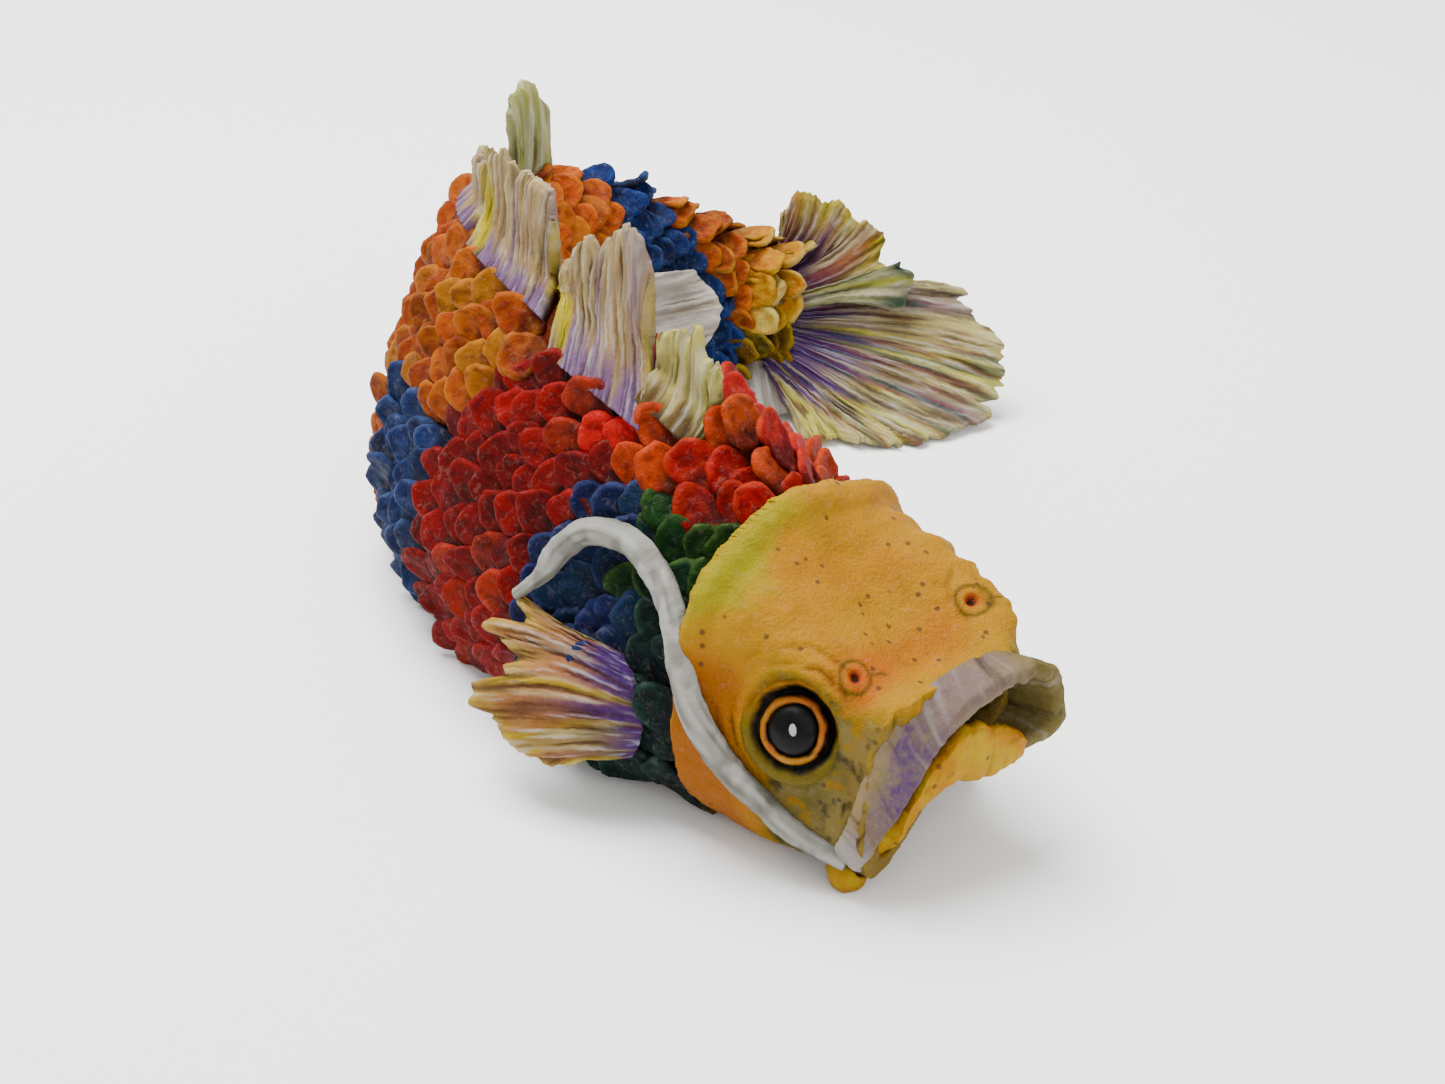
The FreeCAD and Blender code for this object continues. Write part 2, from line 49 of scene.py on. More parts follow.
# ---------------------------------------------------------------- the part's own layout
PLAN_CENTRE = np.array([-4.2, -18.6, 0.0])
# along the spine: x, y, half width, and the heights of the ridge, the bottom and the widest line
STATIONS = np.array([
    (13, -84, 24, 50, -1, 20), (2, -70, 26, 58, -1, 22), (-14, -52, 26, 65, -1, 22),
    (-30, -31, 24, 69, -1, 22), (-42, -8, 21.5, 70, -1, 22), (-46, 16, 18.5, 67, -1, 21),
    (-40, 38, 16, 61, -1, 21), (-27, 55, 14, 53, -1, 20), (-12, 65, 12, 43, 1, 19),
    (2, 68, 10, 36, 4, 19), (12, 67, 8, 31, 7, 19)], float)
# half of a section, ridge to bottom: shares of the half width and of the height off the widest line
HALF_SECTION = np.array([(0.0, 1.0), (0.22, 0.93), (0.46, 0.72), (0.72, 0.45), (0.92, 0.18),
                         (1.0, 0.0), (0.98, -0.42), (0.82, -0.85), (0.5, -1.0), (0.0, -1.0)])
LAST = len(STATIONS) - 1
FIN_START, FIN_END = 0.95, 5.3      # stations between which the dorsal fins stand
SCALE_LENGTH, SCALE_WIDTH, SCALE_ROW, SCALE_COLUMN, SCALE_FLOOR = 10.4, 7.2, 4.9, 6.6, 4.0
HEAD_ORIGIN = np.array([35, -105, 0.0])
FORWARD = np.array([0.70, -0.714, 0.0])
LEFT = np.array([0.714, 0.70, 0.0])
UP = np.array([0, 0, 1.0])
EYE_PLACE = (13.4, 19.8, 28.2)
EYE_AXIS = (0.40, 0.82, 0.40)
LEFT_BARBEL_DROOP = 0.78            # height of the left barbel, as a share of the right one's


# ---------------------------------------------------------------- numbers
def unit(v):
    return v / np.maximum(np.linalg.norm(v, axis=-1, keepdims=True), 1e-9)


def ramp(low, high, x):
    """A smooth step from 0 at low to 1 at high, which may be the smaller number."""
    t = np.clip((x - low) / (high - low), 0, 1)
    return t * t * (3 - 2 * t)


def bump(x, centre, width):
    """A smooth hill: 1 at the centre, fading over the width."""
    return np.exp(-((x - centre) / width) ** 2)


def lattice(ix, iy, iz, seed):
    """A fixed random number from 0 to 1 for each corner of a grid."""
    h = (ix * 73856093) ^ (iy * 19349663) ^ (iz * 83492791) ^ (seed * 265443576)
    h = (h & 0xFFFFFFFF).astype(np.uint64)
    h = ((h ^ (h >> np.uint64(15))) * np.uint64(2246822519)) & np.uint64(0xFFFFFFFF)
    h = ((h ^ (h >> np.uint64(13))) * np.uint64(3266489917)) & np.uint64(0xFFFFFFFF)
    return ((h >> np.uint64(8)) & np.uint64(0xFFFF)).astype(float) / 65535.0


def noise(points, size, seed=0):
    """Smooth noise from -1 to 1, with features about size across."""
    q = np.asarray(points, float) / size + 1000.0
    whole = np.floor(q).astype(np.int64)
    f = q - whole
    f = f * f * (3 - 2 * f)
    total = np.zeros(q.shape[:-1])
    for dx in (0, 1):
        for dy in (0, 1):
            for dz in (0, 1):
                weight = ((f[..., 0] if dx else 1 - f[..., 0])
                          * (f[..., 1] if dy else 1 - f[..., 1])
                          * (f[..., 2] if dz else 1 - f[..., 2]))
                total += weight * lattice(whole[..., 0] + dx, whole[..., 1] + dy,
                                          whole[..., 2] + dz, seed)
    return total * 2 - 1


def rough(points, size, seed=0, octaves=3):
    """Several sizes of noise added up, about -1 to 1."""
    total = 0.0
    for k in range(octaves):
        total = total + noise(points, size / 2 ** k, seed + 17 * k) * 0.55 ** k
    return total / 1.3


def noise_uv(a, b, seed=0):
    """Noise over two numbers that are already in units of one feature."""
    return noise(np.stack([a, b, np.zeros_like(a)], -1), 1.0, seed)


def curve(rows, position):
    """Catmull-Rom curve through rows of numbers, at any number of fractional rows."""
    rows = np.asarray(rows, float)
    last = len(rows) - 1
    t = np.clip(np.asarray(position, float), 0, last)
    i = np.minimum(t.astype(int), last - 1)
    f = (t - i).reshape(t.shape + (1,) * (rows.ndim - 1))
    a, b = rows[np.maximum(i - 1, 0)], rows[i]
    c, d = rows[i + 1], rows[np.minimum(i + 2, last)]
    return 0.5 * (2 * b + (c - a) * f + (2 * a - 5 * b + 4 * c - d) * f ** 2
                  + (3 * b - a - 3 * c + d) * f ** 3)


# ---------------------------------------------------------------- places on the body and head
def direction_at(station):
    step = 0.05
    run = (curve(STATIONS, np.minimum(station + step, LAST))
           - curve(STATIONS, np.maximum(station - step, 0)))[..., :2]
    along = unit(np.concatenate([run, np.zeros_like(run[..., :1])], -1))
    return along, np.stack([-along[..., 1], along[..., 0], along[..., 2]], -1)


def body_point(station, girth, out=0.0):
    """A point on the body, out mm off it (sideways).  Girth is 0 at the ridge, + on the right."""
    station, girth = np.broadcast_arrays(np.asarray(station, float), np.asarray(girth, float))
    row = curve(STATIONS, station)
    section = curve(HALF_SECTION, np.abs(girth))
    across, rise = section[..., 0], section[..., 1]
    width, top, bottom, widest = (row[..., k] for k in (2, 3, 4, 5))
    height = np.where(rise > 0, top - widest, widest - bottom) + out
    side = np.sign(girth) * across * (width + out)
    right = direction_at(station)[1]
    flat = np.stack([row[..., 0], row[..., 1], widest + rise * height], -1)
    return flat + right * side[..., None] - PLAN_CENTRE


def place(points):
    return np.asarray(points, float) - PLAN_CENTRE


def head(points):
    """(back, left, up) to the part's frame."""
    p = np.asarray(points, float)
    return (HEAD_ORIGIN - PLAN_CENTRE - FORWARD * p[..., :1] + LEFT * p[..., 1:2]
            + UP * p[..., 2:])


def to_head(points):
    """The part's frame to (back, left, up)."""
    offset = points - (HEAD_ORIGIN - PLAN_CENTRE)
    flat = np.array([[-FORWARD[0], LEFT[0]], [-FORWARD[1], LEFT[1]]])
    solved = offset[..., :2] @ np.linalg.inv(flat).T
    return np.concatenate([solved, offset[..., 2:]], -1)


def mirrored(points):
    """Plan points reflected across the head's middle plane."""
    p = np.asarray(points, float)
    across = ((p - HEAD_ORIGIN) @ LEFT) / (LEFT @ LEFT)
    return p - 2 * across[..., None] * LEFT


# ---------------------------------------------------------------- colour
def rgb(red, green, blue):
    """A paint colour given as 0 to 255, turned into linear light."""
    c = np.array([red, green, blue]) / 255.0
    return np.where(c <= 0.04045, c / 12.92, ((c + 0.055) / 1.055) ** 2.4)


def mix(a, b, amount):
    amount = np.clip(np.asarray(amount, float), 0, 1)
    if amount.ndim:
        amount = amount[..., None]
    return a * (1 - amount) + b * amount


def glazed(colour, *coats):
    """Paint under further coats, each given as ((red, green, blue), amount)."""
    for paint, amount in coats:
        colour = mix(colour, rgb(*paint), amount)
    return colour


# the coats of the scales: base, dark and light paint; on each scale the dark paint also gives
# painted shade and the light paint a painted highlight
PAINT = {
    "green_nape": (rgb(44, 82, 40), rgb(10, 24, 16), rgb(112, 138, 72)),
    "indigo_shoulder": (rgb(34, 44, 96), rgb(8, 12, 30), rgb(84, 92, 140)),
    "teal_throat": (rgb(20, 48, 46), rgb(5, 13, 18), rgb(70, 108, 92)),
    "vermilion_back": (rgb(200, 44, 14), rgb(76, 12, 6), rgb(232, 104, 24)),
    "crimson_flank": (rgb(146, 22, 26), rgb(36, 4, 8), rgb(182, 56, 48)),
    "ochre_flank": (rgb(202, 110, 36), rgb(92, 30, 12), rgb(232, 164, 76)),
    "blue_flank": (rgb(36, 54, 108), rgb(8, 12, 34), rgb(98, 118, 164)),
    "orange_bend": (rgb(232, 126, 18), rgb(120, 44, 8), rgb(244, 172, 60)),
    "blue_bend": (rgb(22, 44, 102), rgb(5, 10, 30), rgb(84, 112, 168)),
    "copper_stalk": (rgb(204, 106, 24), rgb(84, 30, 10), rgb(240, 190, 116)),
    "gold_stalk": (rgb(246, 186, 44), rgb(150, 80, 12), rgb(252, 236, 180)),
    "olive_stalk": (rgb(150, 118, 28), rgb(56, 42, 10), rgb(212, 188, 88)),
}
# coats whose scales tilt up further (in radians) and are longer
STANCE = {"gold_stalk": (0.26, 1.18), "copper_stalk": (0.16, 1.05), "blue_bend": (0.08, 1.0),
          "olive_stalk": (0.12, 1.05)}


def deepened(paint):
    """Paint as it looks under the strong, soft studio light."""
    grey = (paint @ np.array([0.2126, 0.7152, 0.0722]))[:, None]
    return np.clip(grey + (paint - grey) * 1.28, 0.0003, 1.0) ** 1.08 * PAINT_DEPTH


# ---------------------------------------------------------------- meshes
def linked(name, data):
    """A new object, put in the scene."""
    made = bpy.data.objects.new(name, data)
    bpy.context.scene.collection.objects.link(made)
    return made


def make_object(name, points, quads, paint, material, replaces=None):
    """A smooth-shaded object from points in mm and quads, with one paint colour per point.

    It takes the place of the CAD node with its name, or of the nodes in replaces.
    """
    quads = np.asarray(quads, np.int32)
    a, b, c = points[quads[:, 0]], points[quads[:, 1]], points[quads[:, 2]]
    if np.einsum("ij,ij->i", a, np.cross(b, c)).sum() < 0:
        quads = quads[:, ::-1]
    mesh = bpy.data.meshes.new("visual_" + name)
    mesh.vertices.add(len(points))
    mesh.vertices.foreach_set("co", (points * MM).astype(np.float32).ravel())
    mesh.loops.add(quads.size)
    mesh.loops.foreach_set("vertex_index", quads.ravel())
    mesh.polygons.add(len(quads))
    mesh.polygons.foreach_set("loop_start", np.arange(0, quads.size, 4, dtype=np.int32))
    mesh.polygons.foreach_set("loop_total", np.full(len(quads), 4, np.int32))
    mesh.polygons.foreach_set("use_smooth", np.ones(len(quads), bool))
    mesh.update(calc_edges=True)
    mesh.validate()
    layer = mesh.color_attributes.new("paint", "FLOAT_COLOR", "POINT")
    colours = np.concatenate([deepened(np.clip(paint, 0, 1)), np.ones((len(points), 1))], 1)
    layer.data.foreach_set("color", colours.astype(np.float32).ravel())
    mesh.materials.append(material)
    made = linked("visual_" + name, mesh)
    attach(made, "root")
    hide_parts(*(replaces or [name]))


def corners_of(mesh):
    """The points of a mesh, in metres."""
    corners = np.zeros(len(mesh.vertices) * 3)
    mesh.vertices.foreach_get("co", corners)
    return corners.reshape(-1, 3)


def remeshed(names, voxel):
    """One even skin of small quads round these CAD nodes: points in mm, and quads."""
    corners, faces, offset = [], [], 0
    for name in names:
        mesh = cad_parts[name].data
        corners.append(corners_of(mesh))
        faces += [[v + offset for v in face.vertices] for face in mesh.polygons]
        offset += len(mesh.vertices)
    joined = bpy.data.meshes.new("joined")
    joined.from_pydata(np.concatenate(corners).tolist(), [], faces)
    whole = linked("joined", joined)
    change = whole.modifiers.new("remesh", "REMESH")
    change.mode = "VOXEL"
    change.voxel_size = voxel * MM
    change.adaptivity = 0.0
    result = whole.evaluated_get(bpy.context.evaluated_depsgraph_get())
    mesh = result.to_mesh()
    points = corners_of(mesh) / MM
    quads = np.array([tuple(face.vertices) for face in mesh.polygons if len(face.vertices) == 4])
    result.to_mesh_clear()
    bpy.data.objects.remove(whole)
    return points, quads


def grid_quads(rows, columns, round_rows=False, round_columns=True):
    """The faces of a grid of points, whose rows, columns or both close round."""
    ids = np.arange(rows * columns).reshape(rows, columns)
    right, below = np.roll(ids, -1, axis=1), np.roll(ids, -1, axis=0)
    quads = np.stack([ids, right, np.roll(right, -1, axis=0), below], -1)
    return quads[:None if round_rows else -1, :None if round_columns else -1].reshape(-1, 4)


def loop_caps(loop, flip):
    """The faces across a closed loop of points, zipping its two halves together."""
    k = np.arange(len(loop) // 2 - 1)
    quads = np.stack([loop[k], loop[k + 1], loop[-2 - k], loop[-1 - k]], -1)
    return quads[:, ::-1] if flip else quads


def normals_of(points, quads):
    a, b, c, d = (points[quads[:, k]] for k in range(4))
    face = np.cross(c - a, d - b)
    total = np.zeros_like(points)
    for k in range(4):
        np.add.at(total, quads[:, k], face)
    return unit(total)


def spread(values, quads, rounds):
    """Values at points, each averaged with its neighbours a number of times."""
    count = len(values)
    pairs = np.concatenate([quads[:, [0, 1]], quads[:, [1, 2]], quads[:, [2, 3]], quads[:, [3, 0]]])
    degree = np.maximum(np.bincount(pairs[:, 0], minlength=count)
                        + np.bincount(pairs[:, 1], minlength=count), 1)
    flat = values.reshape(count, -1)
    for _ in range(rounds):
        summed = np.stack([np.bincount(pairs[:, 0], flat[pairs[:, 1], k], count)
                           + np.bincount(pairs[:, 1], flat[pairs[:, 0], k], count)
                           for k in range(flat.shape[1])], 1)
        flat = 0.5 * flat + 0.5 * summed / degree[:, None]
    return flat.reshape(values.shape)


def hollowness(points, quads, rounds=6):
    """How far each point lies below (+) or above (-) its surroundings, in mm."""
    normals = normals_of(points, quads)
    return np.einsum("ij,ij->i", spread(points, quads, rounds) - points, normals)


# ---------------------------------------------------------------- materials
def set_inputs(node, values):
    for name, value in values.items():
        node.inputs[name].default_value = value


def painted(name, roughness=0.62, grain=0.35, speck=(0.10, 0.05, 0.02), speck_amount=0.5,
            coat=0.0, patchy=0.16, pinholes=0.0, sheen=0.08):
    """Brushed paint on clay: paint from the mesh, patches, specks, brush grain and pinholes."""
    material = bpy.data.materials.new(name)
    material.use_nodes = True
    tree = material.node_tree
    nodes, links = tree.nodes, tree.links
    shader = nodes["Principled BSDF"]
    where = nodes.new("ShaderNodeTexCoord")
    paint = nodes.new("ShaderNodeAttribute")
    paint.attribute_name = "paint"

    def texture(size, detail=4.0, stretch=0.0):
        node = nodes.new("ShaderNodeTexNoise")
        set_inputs(node, {"Scale": 1.0 / (size * MM), "Detail": detail, "Distortion": stretch})
        links.new(where.outputs["Object"], node.inputs["Vector"])
        return node.outputs["Fac"]

    def ranged(value, low, high, start=0.0, end=1.0):
        node = nodes.new("ShaderNodeMapRange")
        set_inputs(node, {"From Min": low, "From Max": high, "To Min": start, "To Max": end})
        links.new(value, node.inputs["Value"])
        return node.outputs["Result"]

    def blended(kind, factor, a, b):
        node = nodes.new("ShaderNodeMix")
        node.data_type = "RGBA"
        node.blend_type = kind
        for socket, value in ((0, factor), (6, a), (7, b)):
            if isinstance(value, (float, int)):
                node.inputs[socket].default_value = value
            elif isinstance(value, tuple):
                node.inputs[socket].default_value = (*value, 1.0)
            else:
                links.new(value, node.inputs[socket])
        return node.outputs[2]

    patches = ranged(texture(5.0, 3.0, 0.6), 0.35, 0.7, 0.0, patchy)
    colour = blended("MULTIPLY", patches, paint.outputs["Color"], (0.45, 0.38, 0.32))
    dabs = ranged(texture(1.3, 5.0, 1.2), 0.55, 0.75, 0.0, patchy * 1.4)
    colour = blended("SCREEN", dabs, colour, (0.10, 0.09, 0.07))
    specks = ranged(texture(0.55, 2.0), 0.70, 0.78, 0.0, speck_amount)
    colour = blended("MIX", specks, colour, speck)
    if pinholes:
        holes = nodes.new("ShaderNodeTexVoronoi")
        set_inputs(holes, {"Scale": 1.0 / (3.6 * MM)})
        links.new(where.outputs["Object"], holes.inputs["Vector"])
        dots = ranged(holes.outputs["Distance"], 0.10, 0.17, pinholes, 0.0)
        colour = blended("MIX", dots, colour, (0.05, 0.025, 0.01))
    links.new(colour, shader.inputs["Base Color"])
    set_inputs(shader, {"Specular IOR Level": sheen, "Coat Weight": coat, "Coat Roughness": 0.08})
    links.new(ranged(texture(2.2, 3.0), 0.3, 0.7, roughness - 0.1, roughness + 0.12),
              shader.inputs["Roughness"])
    relief = nodes.new("ShaderNodeBump")
    set_inputs(relief, {"Strength": grain, "Distance": 0.4 * MM})
    links.new(texture(0.6, 6.0, 0.6), relief.inputs["Height"])
    links.new(relief.outputs["Normal"], shader.inputs["Normal"])
    return material


# ---------------------------------------------------------------- scales
AROUND, TOP_RINGS = 24, 7
RING_RADII = np.array([0.22, 0.42, 0.60, 0.75, 0.87, 0.95, 1.0, 0.88, 0.45])
RING_LIFT = np.array([0.80, 0.78, 0.82, 0.95, 1.0, 0.82, 0.35, -0.15, -0.25])
CENTRE_LIFT = 0.82
PELVIC_FEET = place([(-52, 42, 20), (-50, 48, 20), (-47, 55, 19), (-23, 40, 26), (-12, 44, 29),
                     (-5, 48, 29)])
PELVIC_CLEARANCE = 5.5
# up to this station the left scales stand out further, and take the coat of the ones above them
NECK_END, NECK_LIFT, NECK_COAT_RISE = 1.75, 3.4, 14


def petal_quads():
    """The faces of one petal: rings from the middle of its top round to the middle below."""
    rings = len(RING_RADII)
    quads = [grid_quads(rings, AROUND)]
    last_ring = np.arange((rings - 1) * AROUND, rings * AROUND)
    top, bottom = rings * AROUND, rings * AROUND + 1
    for k in range(0, AROUND, 2):
        j, l = (k + 1) % AROUND, (k + 2) % AROUND
        quads.append(np.array([(top, l, j, k),
                               (bottom, last_ring[k], last_ring[j], last_ring[l])]))
    return np.concatenate(quads)


def petals(frames, sizes, seeds, coat, heights):
    """Pressed clay scales as one mesh.  Each is a thick round petal, dished in the middle."""
    angle = np.linspace(0, 2 * np.pi, AROUND, endpoint=False)
    one = petal_quads()
    extra_tilt, stretch = STANCE.get(coat, (0.0, 1.0))
    base, dark, light = PAINT[coat]
    all_points, all_quads, all_paint = [], [], []
    for count, (stance, size, seed, height) in enumerate(zip(frames, sizes, seeds, heights)):
        root, along, across, normal = stance
        pick = np.random.default_rng(seed)
        length = SCALE_LENGTH * size * pick.uniform(0.98, 1.16) * stretch
        width = SCALE_WIDTH * size * pick.uniform(1.02, 1.30)
        yaw, roll = pick.normal(0, 0.16), pick.normal(0, 0.15)
        tilt = pick.normal(0.25, 0.08) + extra_tilt * pick.uniform(0.5, 1.4)
        turned_along = unit(along * math.cos(yaw) + across * math.sin(yaw))
        turned_across = np.cross(normal, turned_along)
        forward = turned_along * math.cos(tilt) + normal * math.sin(tilt)
        upward = np.cross(forward, turned_across)
        side = turned_across * math.cos(roll) + upward * math.sin(roll)
        upward = np.cross(forward, side)
        wobble = (1 + 0.06 * np.sin(2 * angle + pick.uniform(0, 6))
                  + 0.05 * np.sin(3 * angle + pick.uniform(0, 6))
                  + 0.035 * np.sin(5 * angle + pick.uniform(0, 6)) + pick.normal(0, 0.018, AROUND))
        x_out = np.cos(angle) * wobble
        y_out = np.sin(angle) * wobble * (1 + 0.16 * np.cos(angle))
        thick = 1.25 * size * pick.uniform(0.75, 1.25)
        dish = pick.uniform(0.6, 2.8)
        curl = pick.uniform(0.2, 1.5)
        radii = RING_RADII[:, None]
        x = 0.5 * length * (1 + radii * x_out)
        y = 0.5 * width * radii * y_out
        lift = np.where(np.arange(len(RING_RADII)) < 4, 1 - (1 - RING_LIFT) * dish, RING_LIFT)
        z = thick * lift[:, None] - y * y / 20.0 + curl * (x / length) ** 3
        x = np.r_[x.ravel(), 0.5 * length, 0.5 * length]
        y = np.r_[y.ravel(), 0.0, 0.0]
        middle_rise = curl * 0.125
        z = np.r_[z.ravel(), thick * (1 - (1 - CENTRE_LIFT) * dish) + middle_rise,
                  middle_rise - 0.3 * thick]
        start = root - turned_along * 1.6 - normal * 0.5
        points = start + forward * x[:, None] + side * y[:, None] + upward * z[:, None]
        edge = np.r_[np.repeat(RING_RADII, AROUND), 0.0, 0.0]
        beneath = np.r_[np.repeat(np.arange(len(RING_RADII)) >= TOP_RINGS, AROUND), False, True]
        share = x / length
        own = base * np.exp(pick.normal(0, 0.20)) * (1 + pick.normal(0, 0.06, 3))
        own = accent(coat, own, light, pick, height)
        # painted shade: the root of each scale, tucked under the row before it, is darker
        colour = mix(own, dark, 0.85 * (1 - ramp(0.30, 0.66, share)))
        # painted shade in the dished middle of the scale
        colour = mix(colour, dark, 0.40 * bump(edge, 0.35, 0.3) * pick.uniform(0.1, 1.2))
        # the free edge is lighter: dry-brushed paint and a painted highlight
        rim = ramp(0.78, 0.95, edge) * ramp(0.5, 0.8, share)
        colour = mix(colour, light, rim * pick.uniform(0.10, 0.65))
        # painted shade on the underside of the scale
        colour = mix(colour, dark, 0.85 * beneath)
        all_points.append(points)
        all_paint.append(colour)
        all_quads.append(one + count * len(points))
    points = np.concatenate(all_points)
    quads = np.concatenate(all_quads)
    normals = normals_of(points, quads)
    points = points + normals * (rough(points, 2.4, 5, 3) * 0.42
                                 + rough(points, 0.8, 6, 2) * 0.12)[:, None]
    paint = np.concatenate(all_paint)
    washed = rough(points, 1.2, 21, 3)
    paint = mix(paint, dark, 0.60 * np.clip(washed * 1.6, 0, 1))
    paint = mix(paint, light, 0.34 * np.clip(-washed * 1.3, 0, 1))
    return points, quads, paint


def accent(coat, own, light, pick, height):
    """A few scales of a coat are dabbed with another paint."""
    chance = pick.uniform()
    if coat == "vermilion_back" and chance < 0.35:
        return mix(own, rgb(232, 116, 30), pick.uniform(0.4, 0.9))
    if coat == "crimson_flank" and chance < 0.10:
        return mix(own, rgb(214, 92, 70), pick.uniform(0.4, 0.8))
    if coat == "crimson_flank" and height > 46 and chance < 0.6:
        return mix(own, rgb(186, 40, 30), 0.6)
    if coat == "green_nape" and chance < 0.4:
        return mix(own, rgb(26, 76, 70), pick.uniform(0.3, 0.8))
    if coat == "indigo_shoulder" and chance < 0.6:
        return mix(own, rgb(24, 56, 84), pick.uniform(0.4, 1.0))
    if coat == "ochre_flank" and chance < 0.3:
        return mix(own, rgb(192, 84, 38), pick.uniform(0.3, 0.8))
    if coat == "ochre_flank" and chance > 0.8:
        return mix(own, rgb(226, 166, 70), pick.uniform(0.3, 0.8))
    if coat == "gold_stalk" and chance < 0.3:
        return mix(own, light, 0.5)
    return own


def coat_for(station, height):
    """Which coat a scale belongs to, much as in the part."""
    if station > 8.5 and height < 20:
        return "olive_stalk"
    if station > 6.75:
        if station < 7.7 + 0.035 * (46 - height):
            return "blue_bend"
        return "copper_stalk" if station < 8.75 else "gold_stalk"
    if station > 5.0:
        return "orange_bend"
    if station > min(2.35 + 0.03 * (68 - height), 3.15):
        return "blue_flank" if height < 44 and station < 4.1 else "ochre_flank"
    if station < NECK_END and height > 46 + 5 * min(station, 1):
        return "vermilion_back"
    if station > min(1.5 + 0.06 * max(46 - height, 0), 1.85):
        return "crimson_flank"
    if station > 1.1 or (station > 0.55 and 22 < height < 37):
        return "indigo_shoulder"
    return "green_nape" if height > 35 else "teal_throat"


def scale_layout():
    """Staggered rows from the tail to the neck: the frame, size and coat of every scale."""
    coats = {name: [] for name in PAINT}
    station, row = LAST - 0.3, 0
    girths = np.arange(0.05, len(HALF_SECTION) - 1, 0.05)
    while station > -0.05:
        here = max(station, 0.02)
        size = 0.72 + 0.28 * min(curve(STATIONS, here)[2] / 20.0, 1.0)
        offset = SCALE_COLUMN * size * (0.5 if row % 2 else 0.05)
        ring = body_point(here, girths)
        steps = np.r_[np.linalg.norm(ring[0] - body_point(here, 1e-6)),
                      np.linalg.norm(np.diff(ring, axis=0), axis=1)]
        travelled, first = -offset, True
        for girth, step in zip(girths, steps):
            travelled += step
            if travelled < (0 if first else SCALE_COLUMN * size):
                continue
            travelled, first = 0.0, False
            for side in (1, -1):
                root = body_point(here, girth * side)
                if root[2] < SCALE_FLOOR:
                    continue
                under_fin = (1.3 if 1.4 < here < 2.65 else 0.75) if side > 0 else 0.3
                if girth < under_fin and FIN_START < here < FIN_END:
                    continue
                along = unit(body_point(min(here + 0.1, LAST), girth * side) - root)
                around = (body_point(here, (girth + 0.1) * side) - root) * side
                normal = unit(np.cross(along, around))
                across = np.cross(normal, along)
                if min(np.linalg.norm(root - foot) for foot in PELVIC_FEET) < PELVIC_CLEARANCE:
                    continue
                height = root[2]
                if side < 0 and here < NECK_END:
                    height += NECK_COAT_RISE
                    root = root + normal * (NECK_LIFT * ramp(NECK_END, 1.2, here)
                                            * ramp(0.25, 0.6, here))
                coats[coat_for(here, height)].append(((root, along, across, normal), size, height))
        near, far = curve(STATIONS, here)[:2], curve(STATIONS, max(here - 0.1, 0))[:2]
        station -= SCALE_ROW * size / max(np.linalg.norm(near - far) / 0.1, 12)
        row += 1
    return coats


def make_scales():
    seed = 1000
    for name, entries in scale_layout().items():
        if not entries:
            continue
        frames, sizes, heights = zip(*entries)
        seeds = range(seed, seed + len(entries))
        seed += len(entries)
        points, quads, paint = petals(frames, sizes, seeds, name, heights)
        points[:, 2] = np.maximum(points[:, 2], 0.15)
        finish = painted("paint_" + name, 0.60, 0.8, tuple(PAINT[name][1]), 0.5, patchy=0.26)
        make_object("scales_" + name, points, quads, paint, finish)


# ---------------------------------------------------------------- fins
def smooth_grid(rows, out, across):
    """A fine grid of points (out x across) through a few rows of points."""
    fine = curve(rows, np.linspace(0, len(rows) - 1, out))
    return curve(fine.swapaxes(0, 1), np.linspace(0, fine.shape[1] - 1, across)).swapaxes(0, 1)


